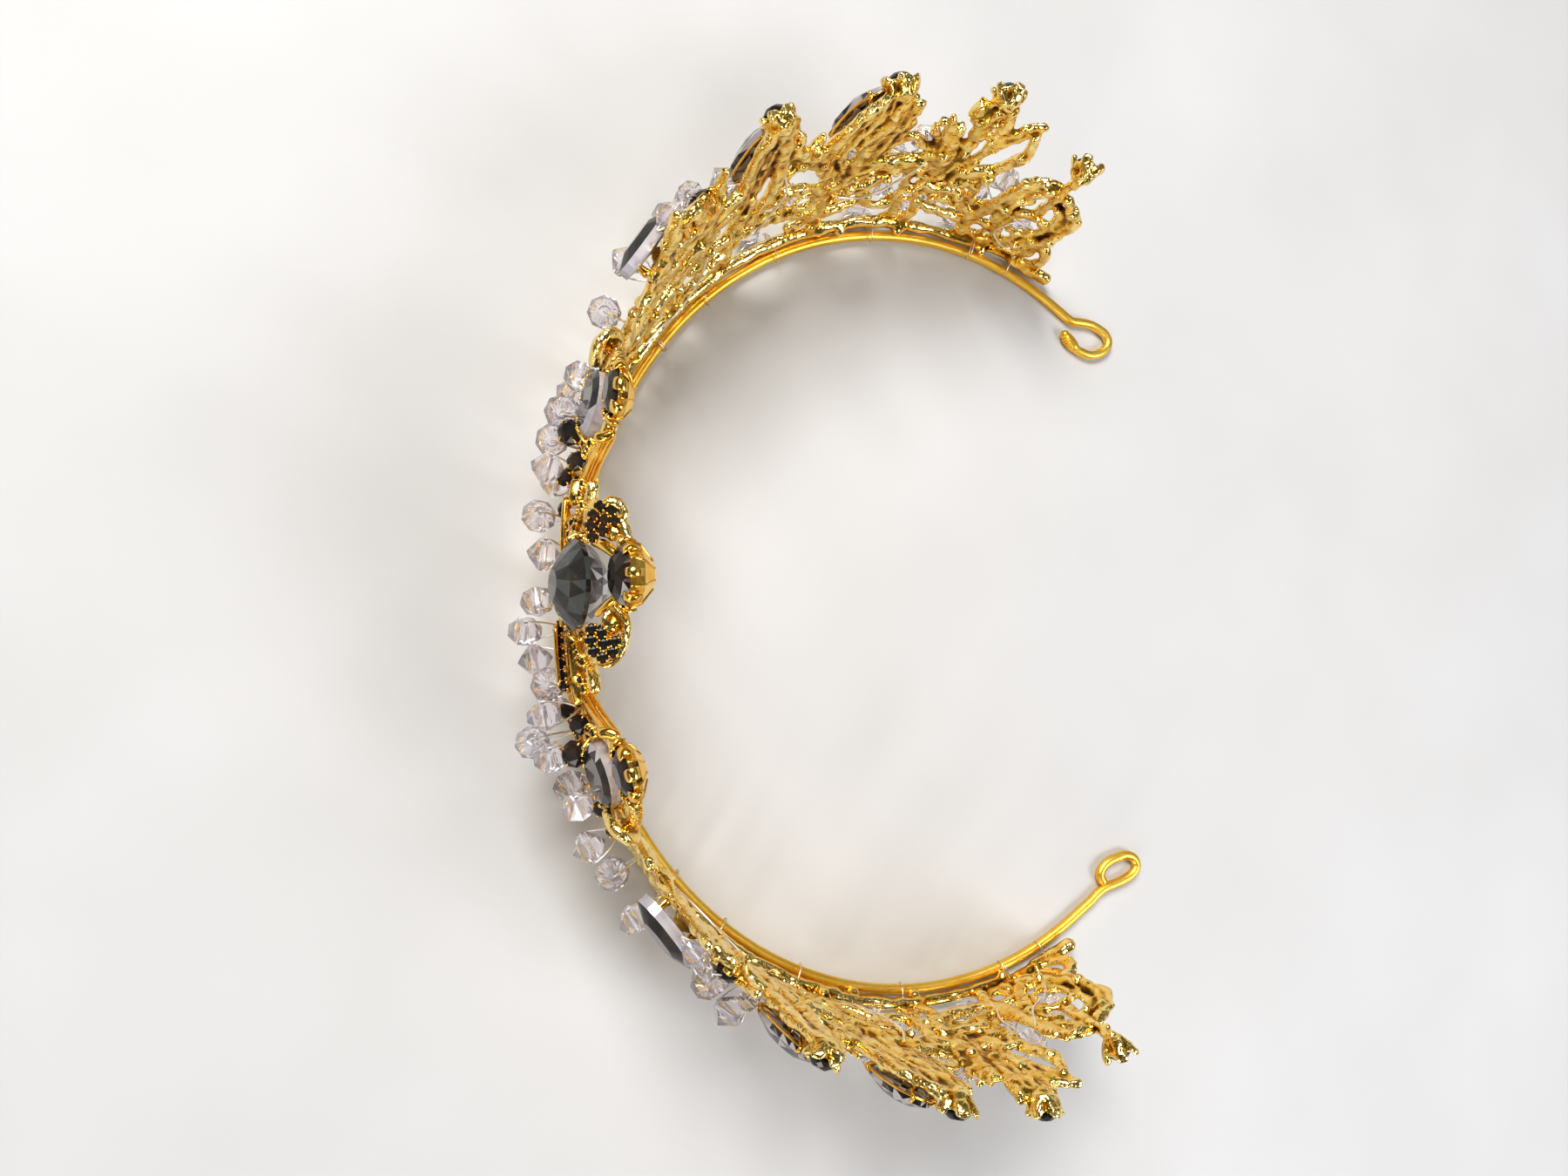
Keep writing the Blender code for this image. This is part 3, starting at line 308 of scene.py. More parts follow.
# ------------------------------------------------------------------ fuller design of the wing castings
# strands and leaves: (points u, v, w on the wall, half widths along the way, half thickness)
WING_CAST = [
    # lower rail in four lengths, with a flat tab at its end
    ([(34.5, 2.1, -0.8), (42, 1.7, -0.8), (50, 2.0, -0.8), (58, 1.6, -0.8), (66, 2.0, -0.8), (74, 1.7, -0.8), (81, 1.6, -0.8), (88, 1.4, -0.8)], (1.3, 1.4, 1.3), 1.1),
    ([(86.0, 1.5, -0.7), (92.0, 1.9, -0.6), (98.0, 2.3, -0.6), (104.0, 1.7, -0.6)], (1.4, 1.6, 1.3), 1.1),
    ([(102.0, 1.7, -0.5), (107.0, 1.3, -0.5), (113.0, 1.2, -0.5), (120.0, 1.2, -0.4)], (1.1, 1.1), 1.0),
    ([(119.0, 1.0, 0.0), (124.0, 1.1, 0.1), (129.0, 1.2, 0.2), (133.8, 1.9, 0.2)], (1.1, 1.0, 1.5), 0.8),
    ([(126.4, 1.5, -0.1), (130.0, 1.7, -0.2), (134.2, 2.2, -0.2)], (1.3, 1.5, 1.6), 1.15),
    # swags over the long slots
    ([(64.8, 3.6, 0), (67.0, 8.0, 0.2), (70.4, 12.0, 0), (74.0, 12.2, -0.3), (77.6, 11.0, -0.3), (81.0, 8.8, -0.1), (84.0, 6.4, 0), (86.0, 3.4, 0)],
     (1.1, 1.2, 1.0, 1.2), 0.8),
    ([(80.5, 3.5, 0.3), (83.0, 5.5, 0.2), (84.6, 8.5, 0), (85.2, 12.0, -0.2)], (1.3, 1.4, 1.2), 0.8),
    ([(84.6, 5.4, 0), (87.5, 7.6, -0.3), (90.5, 8.9, -0.2), (93.5, 10.8, 0.2)], (1.0, 1.1, 0.9), 0.75),
    ([(91.4, 12.6, 0.4), (92.6, 9.6, 0.1), (95.4, 8.3, -0.2), (98.0, 9.1, -0.1), (99.0, 11.6, 0.2)], (0.9, 1.05, 0.9), 0.8),
    ([(99.6, 3.0, 0.2), (100.2, 6.0, 0), (99.6, 9.5, 0.1)], (1.2, 0.9, 1.1), 0.8),
    ([(102.6, 2.6, 0), (103.6, 6.0, -0.2), (102.8, 9.4, 0)], (1.1, 0.9, 1.1), 0.8),
    ([(102.4, 10.2, 0.1), (106.5, 8.5, -0.3), (109.5, 7.9, -0.2), (112.5, 6.9, 0.1), (114.6, 4.2, 0.2)], (1.1, 0.9, 1.0), 0.8),
    ([(101.0, 15.0, 0.1), (105.0, 12.7, 0.4), (109.0, 11.4, 0.3), (113.4, 10.8, 0)], (1.0, 1.1, 0.9), 0.8),
    ([(100.6, 17.0, -0.3), (105.0, 16.0, -0.5), (108.4, 15.8, -0.3), (110.4, 12.0, 0.1)], (1.2, 1.3, 0.9), 0.85),
    ([(99.4, 19.4, 0.2), (104.0, 19.6, -0.1), (107.4, 19.8, -0.3), (110.6, 18.4, 0)], (1.2, 1.7, 1.1), 0.9),
    ([(98.0, 19.2, 0.3), (96.9, 22.4, 0), (98.4, 25.4, 0.1), (101.2, 25.0, 0.3)], (0.95, 1.0, 0.9), 0.75),
    # third finial: slender pronged spray under a cup
    ([(101.8, 19.5, 0.2), (101.4, 24.0, -0.3), (100.8, 29.0, -0.2), (100.4, 34.4, 0.1)], (1.4, 1.8, 1.9, 1.2), 0.9),
    ([(99.8, 31.0, 0), (99.2, 34.0, 0.3), (98.5, 36.6, 0.4)], (1.0, 0.8, 0.35), 0.6),
    ([(99.8, 27.6, 0.2), (97.9, 30.8, 0.5), (97.0, 33.4, 0.6)], (0.9, 0.7, 0.35), 0.6),
    ([(103.6, 21.0, 0), (103.9, 26.0, 0.3), (103.6, 31.0, -0.2), (103.4, 36.0, -0.4), (104.0, 40.6, -0.2)], (1.1, 1.2, 1.5, 1.6), 0.85),
    ([(103.2, 35.0, -0.2), (101.5, 38.6, 0.1), (100.9, 41.6, 0.3)], (1.3, 1.2, 0.9), 0.8),
    ([(102.8, 37.6, -0.3), (102.4, 41.0, 0.2), (102.9, 43.6, 0.3)], (0.9, 0.7, 0.35), 0.65),
    ([(106.4, 21.5, -0.2), (106.6, 28.0, 0.1), (107.0, 33.0, -0.1), (107.1, 37.0, -0.1), (106.0, 41.4, 0)], (1.1, 0.9, 1.0, 1.2), 0.8),
    ([(103.8, 32.0, 0), (105.4, 33.4, 0.2), (107.0, 32.6, 0)], (0.7, 0.7), 0.65),
    ([(103.4, 38.4, 0), (105.2, 37.6, 0.1), (106.9, 38.0, 0)], (0.8, 0.7), 0.65),
    ([(103.8, 27.0, 0.2), (105.2, 25.6, 0.3), (106.4, 26.6, 0.1)], (0.8, 0.8), 0.7),
    # pointed leaf beside it, doubled back on itself
    ([(105.8, 25.6, -0.2), (106.9, 30.6, -0.4), (108.2, 34.4, -0.3), (110.0, 37.3, 0), (112.4, 39.6, 0.4)], (1.3, 1.15, 1.7, 1.9, 0.6), 0.65),
    ([(111.8, 38.0, 0.2), (112.5, 34.6, 0), (112.9, 31.0, -0.2), (112.0, 27.6, 0), (110.7, 24.2, 0.1), (110.0, 20.4, 0)], (0.6, 0.9, 1.3, 1.0, 1.2), 0.8),
    ([(104.0, 19.5, 0), (106.5, 22.6, -0.5), (109.5, 23.6, -0.3), (111.0, 21.0, 0)], (1.4, 1.8, 1.2), 0.9),
    ([(111.0, 18.0, 0), (110.9, 15.6, 0.2), (112.4, 13.2, 0.2), (114.4, 14.0, 0)], (0.9, 0.8), 0.7),
    # end group: leaves, arch and the last cup on its neck
    ([(114.6, 1.6, 0), (114.0, 6.5, -0.2), (113.5, 10.6, -0.1), (114.6, 15.0, 0.1)], (1.2, 1.0, 1.1), 0.85),
    ([(114.4, 9.8, -0.2), (115.0, 14.5, -0.5), (115.9, 19.3, -0.7), (116.7, 23.6, -0.5), (118.0, 26.4, -0.2)], (1.1, 1.4, 1.5, 1.2), 0.9),
    ([(117.2, 24.6, -0.2), (119.6, 27.0, -0.4), (122.2, 26.6, -0.1), (125.0, 25.2, -0.3), (127.3, 22.6, -0.2), (128.4, 19.2, 0), (127.8, 15.4, 0.1)],
     (1.1, 1.3, 1.0, 1.5, 1.5, 1.1), 0.85),
    ([(122.4, 17.0, 0.1), (122.7, 22.5, -0.2), (122.5, 27.0, -0.5), (122.4, 31.0, -0.4), (122.2, 33.0, -0.2)], (1.1, 1.0, 0.85, 0.9, 1.3), 0.85),
    ([(123.0, 23.8, 0), (125.8, 20.4, 0.2), (126.2, 16.5, 0), (125.0, 12.2, -0.1), (122.6, 9.2, 0)], (0.9, 0.9), 0.75),
    ([(119.8, 2.2, 0), (122.4, 6.0, -0.3), (125.0, 9.2, -0.5), (127.2, 12.4, -0.4), (128.4, 16.2, -0.1)], (1.1, 1.4, 1.3, 1.0), 0.9),
    ([(122.6, 2.2, 0.3), (125.5, 3.4, 0.4), (127.7, 5.6, 0.3), (127.6, 9.2, 0.1)], (0.9, 0.9), 0.7),
    ([(126.2, 10.4, 0), (129.2, 9.4, -0.2), (130.6, 6.4, -0.3), (129.6, 3.4, -0.1), (126.2, 1.8, 0)], (1.0, 1.1, 1.0), 0.8),
    ([(120.6, 5.6, 0), (118.6, 10.4, -0.4), (117.5, 14.4, -0.4), (118.0, 18.2, -0.1), (120.2, 20.6, 0)], (1.1, 1.5, 1.3, 0.9), 0.85),
    ([(115.2, 4.2, 0), (118.0, 2.9, -0.1), (120.6, 4.6, 0)], (1.0, 1.1), 0.8),
    ([(113.6, 8.2, 0.1), (116.0, 8.3, 0), (118.8, 8.6, -0.2)], (0.8, 1.0), 0.75),
    ([(117.2, 14.4, -0.2), (120.0, 16.6, -0.4), (122.8, 17.0, -0.2), (125.8, 15.4, 0)], (1.0, 1.2, 0.9), 0.8),
    ([(118.2, 18.0, 0.2), (119.4, 21.6, 0.3), (121.8, 24.6, 0.1)], (0.9, 0.8), 0.7),
    ([(121.4, 9.4, 0.3), (119.8, 12.0, 0.5), (120.6, 15.0, 0.4)], (0.8, 0.7), 0.7),
    # between the second and the third finial
    ([(85.2, 11.4, 0), (87.8, 14.4, -0.4), (91.4, 16.6, -0.4), (94.0, 19.0, 0)], (1.2, 1.5, 1.1), 0.9),
    ([(84.8, 15.6, 0), (88.0, 18.8, -0.2), (91.5, 20.2, 0.2), (95.0, 21.2, 0), (98.2, 19.8, 0)], (1.3, 1.4, 1.1), 0.85),
    ([(92.2, 13.0, 0.3), (92.8, 16.4, 0.4), (94.4, 19.0, 0.2)], (0.8, 0.8), 0.7),
    ([(98.8, 14.2, 0.2), (98.4, 17.0, 0), (97.8, 20.0, 0.1)], (0.9, 1.0), 0.8),
    ([(86.0, 19.5, 0), (89.0, 23.4, -0.5), (92.6, 24.2, -0.4), (96.2, 23.8, -0.2), (99.4, 26.4, 0)], (1.5, 1.7, 1.2), 0.9),
    ([(90.2, 25.6, 0), (91.4, 29.6, -0.1), (94.4, 30.9, 0), (96.8, 28.4, 0.2), (99.2, 27.4, 0.1)], (1.1, 1.0, 1.1), 0.8),
    # second finial: ridged shell-like leaf
    ([(84.6, 19.0, 0.1), (81.7, 24.6, 0), (80.8, 30.4, -0.2), (82.4, 35.6, -0.3), (84.7, 40.2, -0.2), (86.6, 43.4, 0)], (1.3, 1.4, 1.4, 1.2), 0.95),
    ([(86.4, 20.4, 0.2), (84.0, 26.0, 0.5), (84.2, 31.4, 0.2), (86.0, 36.6, -0.1), (87.5, 42.0, 0)], (1.1, 1.2, 1.5), 0.85),
    ([(87.2, 20.6, -0.2), (87.4, 26.4, -0.2), (87.9, 32.0, -0.5), (88.6, 37.0, -0.6), (88.4, 42.4, -0.2)], (1.3, 1.4, 1.6, 1.5), 0.9),
    ([(88.4, 22.8, 0), (90.2, 28.0, 0.1), (91.0, 32.8, 0), (90.6, 37.4, -0.2), (89.4, 42.4, 0)], (1.2, 1.3, 1.5, 1.3), 0.85),
    ([(89.0, 34.0, -0.3), (91.0, 37.4, -0.2), (91.9, 40.4, 0.1)], (1.5, 1.4, 0.8), 0.8),
    ([(89.6, 29.6, -0.2), (91.9, 32.4, 0), (92.6, 35.2, 0.2)], (1.3, 1.2, 0.7), 0.75),
    ([(85.6, 29.8, -0.6), (87.4, 35.0, -0.9), (88.4, 39.6, -0.7)], (0.9, 0.7), 0.6),
    ([(88.8, 27.0, -0.6), (89.9, 32.0, -0.8), (90.1, 36.6, -0.6)], (0.8, 0.7), 0.6),
    ([(83.2, 27.4, -0.5), (83.6, 32.0, -0.7), (85.2, 36.6, -0.8), (86.4, 40.2, -0.5)], (0.8, 0.7), 0.6),
    # shoulder between the first two finials, and the wide opening under it
    ([(72.2, 35.2, 0), (75.0, 32.8, -0.4), (78.2, 30.4, -0.4), (81.2, 27.2, 0)], (1.4, 1.5, 1.3), 0.95),
    ([(72.0, 31.2, -0.1), (75.6, 29.8, 0.2), (79.0, 26.9, 0.1), (82.6, 22.6, 0)], (1.2, 1.3, 1.1), 0.8),
    ([(74.0, 34.0, 0.1), (74.3, 36.2, 0.3), (73.9, 37.6, 0.3)], (1.1, 0.8, 0.5), 0.7),
    ([(77.4, 31.0, 0.2), (78.4, 33.0, 0.4), (78.6, 34.4, 0.5)], (1.0, 0.7, 0.4), 0.65),
    ([(73.8, 24.4, -0.1), (74.5, 28.0, -0.5), (77.4, 28.3, -0.5), (80.7, 24.6, -0.3), (83.4, 19.2, 0)], (1.0, 1.0, 1.1), 0.85),
    ([(73.0, 17.4, 0), (75.4, 20.2, -0.5), (78.2, 20.0, -0.6), (81.4, 18.2, -0.4), (84.2, 14.6, -0.1), (84.8, 10.4, 0)], (1.1, 1.2, 1.0), 0.85),
    ([(76.0, 17.2, 0.3), (76.3, 13.6, 0.4), (78.6, 11.4, 0.2)], (0.8, 0.8), 0.75),
    ([(68.6, 17.6, 0), (72.0, 14.6, -0.2), (75.8, 12.4, -0.1)], (1.1, 1.1), 0.8),
    # first finial: stem, broad flat leaf and its side strand
    ([(69.0, 17.2, -0.2), (71.0, 21.4, -0.5), (72.1, 25.6, -0.6), (71.9, 31.0, -0.5), (71.3, 37.0, -0.4), (70.4, 43.0, -0.3), (69.8, 46.2, 0)], (1.0, 1.1, 1.3, 1.7, 1.0), 0.9),
    ([(66.5, 24.6, 0.1), (66.2, 31.0, 0), (66.7, 36.4, 0), (67.6, 41.4, 0), (68.8, 44.4, 0)], (1.3, 1.5, 1.2, 1.3), 0.9),
    ([(67.6, 23.0, 0.3), (69.0, 29.0, 0.4), (69.3, 34.4, 0.3), (69.4, 40.6, 0.1)], (1.7, 2.4, 2.3, 1.8), 0.55),
    ([(69.8, 13.6, 0.1), (72.0, 17.0, 0.2), (73.3, 21.0, 0.2), (73.7, 25.0, 0.1)], (0.8, 0.9), 0.75),
    ([(66.6, 16.0, -0.3), (67.8, 20.6, -0.6), (68.2, 25.0, -0.4)], (0.9, 0.9), 0.75),
    # shoulder towards the front: long strands that climb together
    ([(56.4, 3.0, 0), (60.0, 6.0, -0.3), (64.4, 7.4, -0.2), (68.6, 8.8, 0)], (1.0, 1.1), 0.85),
    ([(53.0, 16.8, 0), (56.5, 21.0, -0.4), (60.0, 22.8, -0.4), (64.0, 23.2, -0.2), (67.2, 21.4, 0)], (1.2, 1.4, 1.1), 0.9),
    ([(58.0, 11.0, 0.1), (62.0, 13.4, -0.1), (66.4, 13.4, -0.3), (70.4, 12.4, -0.1)], (1.0, 1.2, 0.9), 0.8),
    ([(54.0, 1.8, 0), (53.4, 8.0, -0.2), (54.6, 14.0, -0.3), (58.0, 18.6, -0.2), (62.4, 20.0, 0)], (1.2, 1.3, 1.1), 0.85),
    ([(61.0, 5.6, 0.2), (61.4, 10.0, 0.2), (60.2, 14.6, 0.1), (61.6, 19.0, 0)], (1.0, 1.0), 0.8),
    ([(66.4, 2.6, 0.1), (66.8, 8.0, 0.2), (65.8, 13.0, 0.1), (66.6, 18.0, 0), (67.0, 24.6, 0)], (1.2, 1.1, 1.3), 0.85),
    ([(62.0, 23.0, 0), (61.2, 28.0, 0.2), (60.6, 33.0, 0.3), (61.2, 38.6, 0.4)], (1.5, 1.6, 1.2, 0.5), 0.85),
    ([(58.0, 24.0, 0), (62.0, 27.6, -0.4), (66.0, 28.6, -0.2)], (1.2, 1.4), 0.9),
    ([(49.6, 31.6, 0), (54.6, 29.8, -0.3), (59.4, 27.6, -0.3), (64.8, 26.4, 0)], (1.5, 1.6, 1.2), 0.95),
    ([(50.4, 18.4, 0.1), (54.0, 22.4, 0.2), (58.4, 24.6, 0.1), (62.4, 24.4, 0)], (1.1, 1.2), 0.85),
    ([(35.2, 2.4, 0), (36.4, 9.0, -0.2), (36.0, 16.0, 0), (37.4, 24.0, -0.1), (40.2, 30.6, 0)], (1.2, 1.5, 1.3), 0.85),
    ([(37.0, 21.4, 0), (42.0, 25.6, -0.4), (47.0, 29.8, -0.3), (49.6, 36.0, -0.1), (50.2, 43.4, 0)], (1.3, 1.7, 2.2, 0.8), 0.95),
    ([(43.6, 1.8, 0), (44.4, 9.0, 0.2), (47.2, 15.6, 0.1), (49.4, 24.0, 0), (49.6, 33.0, 0)], (1.1, 1.3, 1.5), 0.85),
    ([(36.2, 11.6, 0), (41.6, 13.6, -0.4), (47.0, 12.2, -0.2), (53.6, 12.8, 0)], (1.1, 1.3, 1.1), 0.85),
    ([(49.6, 25.0, 0.0), (49.4, 28.6, 0.4), (49.2, 32.0, 0.9)], (1.4, 1.4), 1.0),
    ([(38.8, 3.4, 0.2), (40.8, 7.6, 0.2), (41.0, 11.2, 0)], (0.8, 0.8), 0.75),
    ([(40.6, 14.6, 0), (42.6, 18.4, -0.3), (41.6, 22.6, -0.1), (39.0, 25.6, 0)], (0.9, 1.2, 0.8), 0.8),
    ([(47.4, 3.4, 0.1), (49.6, 7.6, -0.1), (53.2, 10.8, 0)], (0.9, 1.0), 0.8),
    ([(43.6, 25.8, 0.2), (46.2, 22.0, 0.2), (48.8, 19.0, 0)], (0.9, 0.9), 0.75),
    # scroll beside the shoulder stone
    ([(53.6, 24.0, 0), (55.2, 27.8, -0.5), (56.4, 32.0, -0.7), (56.0, 36.0, -0.4), (53.9, 36.4, 0), (53.4, 33.8, 0.1)], (1.2, 1.7, 1.6, 0.9), 0.95),
    ([(56.8, 25.6, 0), (59.0, 28.4, -0.4), (59.6, 31.6, -0.4), (58.4, 34.4, -0.1)], (1.1, 1.4, 0.8), 0.85),
]
WING_RINGS = [   # centre u, v, w, half width, half height, bar half width
    (100.0, 12.4, -0.3, 1.7, 1.9, 0.62), (80.5, 14.0, -0.3, 1.9, 2.0, 0.65), (116.2, 6.0, 0.1, 2.0, 2.1, 0.6), (99.2, 22.2, 0.2, 1.6, 1.9, 0.6),
    (104.9, 35.6, -0.2, 1.3, 1.8, 0.5), (91.2, 21.4, 0.2, 1.2, 1.4, 0.6),
]
WING_LUMPS = [   # feet towards the band and swellings where strands meet: u, v, w, radius
    (91.0, 1.2, -1.6, 1.15), (102.6, 1.2, -1.7, 1.1), (86.6, 1.3, -1.2, 0.95), (120.2, 1.2, -1.3, 1.0), (64.2, 1.3, -1.1, 0.95),
    (48.0, 1.4, -1.2, 0.9), (112.4, 31.2, -0.7, 1.15), (101.2, 40.2, -0.2, 1.15), (84.8, 3.4, -0.5, 1.2), (114.2, 4.4, -0.4, 1.2),
    (100.4, 16.4, -0.8, 0.9), (106.0, 19.4, -1.0, 1.1), (110.2, 23.0, -0.9, 1.0), (97.6, 24.4, -0.8, 0.9), (86.0, 12.6, -0.8, 1.0),
    (88.2, 16.4, -1.0, 0.95), (73.4, 19.0, -0.7, 0.9), (83.4, 20.6, -0.9, 0.95), (80.4, 27.0, -0.9, 0.9), (75.6, 32.0, -1.1, 0.9),
    (103.8, 29.0, -0.9, 0.9), (100.6, 27.2, -1.0, 0.95), (117.0, 16.4, -1.1, 0.95), (120.2, 26.6, -1.0, 0.9), (126.4, 23.8, -1.0, 0.9),
    (123.8, 7.8, -1.1, 0.95), (128.0, 14.0, -1.0, 0.9), (66.8, 21.0, -0.8, 0.9), (58.0, 22.0, -1.0, 0.95), (61.4, 15.0, -0.8, 0.9),
    (54.2, 12.8, -0.9, 0.95), (47.4, 14.2, -0.9, 0.9), (41.0, 13.6, -0.9, 0.9), (43.4, 26.4, -1.0, 0.95), (95.0, 20.8, -0.6, 0.9),
    (92.6, 24.4, -1.1, 0.85), (108.4, 15.6, -0.9, 0.85), (104.6, 12.8, -0.5, 0.85), (69.6, 12.0, -0.7, 0.85), (77.8, 20.0, -1.1, 0.8),
]
WING_CUPS = [    # setting: u, v, w, radius, depth, tip, spin
    (69.3, 44.0, 0.9, 2.3, 2.4, 10, 0), (87.9, 43.8, 0.9, 2.4, 2.5, 12, 0), (104.3, 43.3, 0.8, 2.3, 2.4, 10, 0),
    (122.2, 34.0, 0.2, 2.1, 2.6, 10, 0),
]
STONES = {       # name: (sides it is on, u, v, w, kind, half width, half height, crown, pavilion, tip, spin, facets)
    "centre": ((1,), 0.0, 35.8, 2.2, "oval", 6.6, 8.4, 3.2, 5.2, 6, 0, 12),
    "crest": ((1,), 0.0, 50.2, -2.7, "oval", 4.5, 4.5, 1.9, 1.3, 4, 0, 10),
    "flank_oval": ((-1, 1), 25.7, 31.6, 1.1, "oval", 4.9, 6.4, 2.2, 1.7, 4, 0, 10),
    "flank_round": ((-1, 1), 25.3, 43.0, 0.2, "oval", 3.6, 3.6, 1.2, 0.9, 4, 0, 10),
    "shoulder_navette": ((-1, 1), 48.8, 31.4, 3.4, "navette", 3.5, 6.8, 1.9, 1.5, 8, -100, 10),
    "first_navette": ((-1, 1), 68.8, 33.3, 2.7, "navette", 3.3, 8.0, 1.6, 1.1, -4, -14, 10),
    "second_navette": ((-1, 1), 85.1, 34.4, 2.7, "navette", 3.2, 7.2, 1.6, 1.1, -2, -11, 10),
    "first_round": ((-1, 1), 69.3, 44.0, 2.06, "oval", 1.9, 1.9, 0.9, 0.9, 10, 0, 8),
    "second_round": ((-1, 1), 87.9, 43.8, 2.09, "oval", 2.0, 2.0, 0.9, 0.9, 12, 0, 8),
    "third_round": ((-1, 1), 104.3, 43.3, 1.96, "oval", 1.9, 1.9, 0.9, 0.9, 10, 0, 8),
    "end_round": ((-1, 1), 122.2, 34.0, 1.42, "oval", 1.75, 1.75, 0.9, 0.9, 10, 0, 8),
}
BEADS = [        # photo order: side, arc u, height, outward offset from the band
    (-1, 31.0, 24, 8.5), (-1, 30.0, 17, 8.6), (-1, 25.8, 22, 9.3), (-1, 23.0, 15, 9.1), (-1, 17.6, 22, 9.0),
    (-1, 17.0, 14, 6.6), (-1, 11.0, 20, 8.9), (-1, 5.5, 22, 7.7), (1, 0.9, 18, 8.2), (1, 5.1, 21, 10.5),
    (1, 9.1, 18, 9.1), (1, 12.7, 23, 8.2), (1, 16.7, 24, 9.8), (1, 16.6, 14, 7.0), (1, 20.1, 17, 11.9),
    (1, 22.3, 23, 10.3), (1, 27.6, 15, 8.3), (1, 29.9, 22, 8.8), (1, 35.9, 20, 9.8), (1, 40.3, 22, 8.8),
    (1, 48.0, 18, 9.7), (1, 59.2, 25, 7.6), (1, 62.1, 17, 8.4), (1, 66.2, 20, 9.7),
    (-1, 41.5, 22, 9.9), (-1, 50.1, 20, 12.0), (-1, 56.3, 27, 10.9), (-1, 62.0, 22, 11.2), (-1, 67.6, 24, 10.4),
]
BEAD_R, BEAD_H = 2.75, 2.5                       # half width and half length of a bicone bead
# ------------------------------------------------------------------ materials
class Shader:
    """A Principled material with a few nodes of its own."""

    def __init__(self, name, **plain):
        self.mat = bpy.data.materials.new(name)
        self.mat.use_nodes = True
        self.t = self.mat.node_tree
        self.p = self.t.nodes["Principled BSDF"]
        for k, v in plain.items():
            self.p.inputs[k.replace("_", " ")].default_value = v
        self.co = self.node("ShaderNodeTexCoord").outputs["Object"]

    def node(self, kind, **props):
        n = self.t.nodes.new(kind)
        for k, v in props.items():
            setattr(n, k, v)
        return n

    def link(self, a, b):
        self.t.links.new(a, b)

    def noise(self, per_mm, detail=3.0, rough=0.55, stretch=None, warp=0.0):
        n = self.node("ShaderNodeTexNoise")
        n.inputs["Scale"].default_value = per_mm * 1000.0
        n.inputs["Detail"].default_value = detail
        n.inputs["Roughness"].default_value = rough
        n.inputs["Distortion"].default_value = warp
        co = self.co
        if stretch:
            m = self.node("ShaderNodeMapping")
            m.inputs["Scale"].default_value = stretch
            self.link(co, m.inputs["Vector"])
            co = m.outputs["Vector"]
        self.link(co, n.inputs["Vector"])
        return n.outputs["Fac"]

    def cells(self, per_mm, feature="F1"):
        n = self.node("ShaderNodeTexVoronoi", feature=feature)
        n.inputs["Scale"].default_value = per_mm * 1000.0
        self.link(self.co, n.inputs["Vector"])
        return n.outputs["Distance"]

    def ramp(self, src, stops):
        n = self.node("ShaderNodeValToRGB")
        e = n.color_ramp.elements
        while len(e) < len(stops):
            e.new(0.5)
        for q, (at, c) in zip(e, stops):
            q.position = at
            q.color = (*c, 1.0) if len(c) == 3 else c
        self.link(src, n.inputs["Fac"])
        return n.outputs["Color"]

    def mix(self, fac, a, b, how="MIX"):
        n = self.node("ShaderNodeMix", data_type="RGBA", blend_type=how)
        for sock, v in ((n.inputs[0], fac), (n.inputs[6], a), (n.inputs[7], b)):
            if isinstance(v, bpy.types.NodeSocket):
                self.link(v, sock)
            else:
                sock.default_value = v if isinstance(v, float) else (*v, 1.0)
        return n.outputs[2]

    def maths(self, how, a, b=0.0, clamp=False):
        n = self.node("ShaderNodeMath", operation=how, use_clamp=clamp)
        for sock, v in zip(n.inputs, (a, b)):
            if isinstance(v, bpy.types.NodeSocket):
                self.link(v, sock)
            else:
                sock.default_value = v
        return n.outputs[0]

    def attribute(self, name):
        return self.node("ShaderNodeVertexColor", layer_name=name).outputs["Color"]

    def span(self, src, lo, hi, a=0.0, b=1.0):
        n = self.node("ShaderNodeMapRange", clamp=True)
        self.link(src, n.inputs["Value"])
        for k, v in (("From Min", a), ("From Max", b), ("To Min", lo), ("To Max", hi)):
            n.inputs[k].default_value = v
        return n.outputs["Result"]

    def bump(self, height, strength, mm, below=None):
        n = self.node("ShaderNodeBump")
        n.inputs["Strength"].default_value = strength
        n.inputs["Distance"].default_value = mm * 0.001
        self.link(height, n.inputs["Height"])
        if below is not None:
            self.link(below, n.inputs["Normal"])
        return n.outputs["Normal"]

    def set(self, socket, value):
        self.link(value, self.p.inputs[socket])


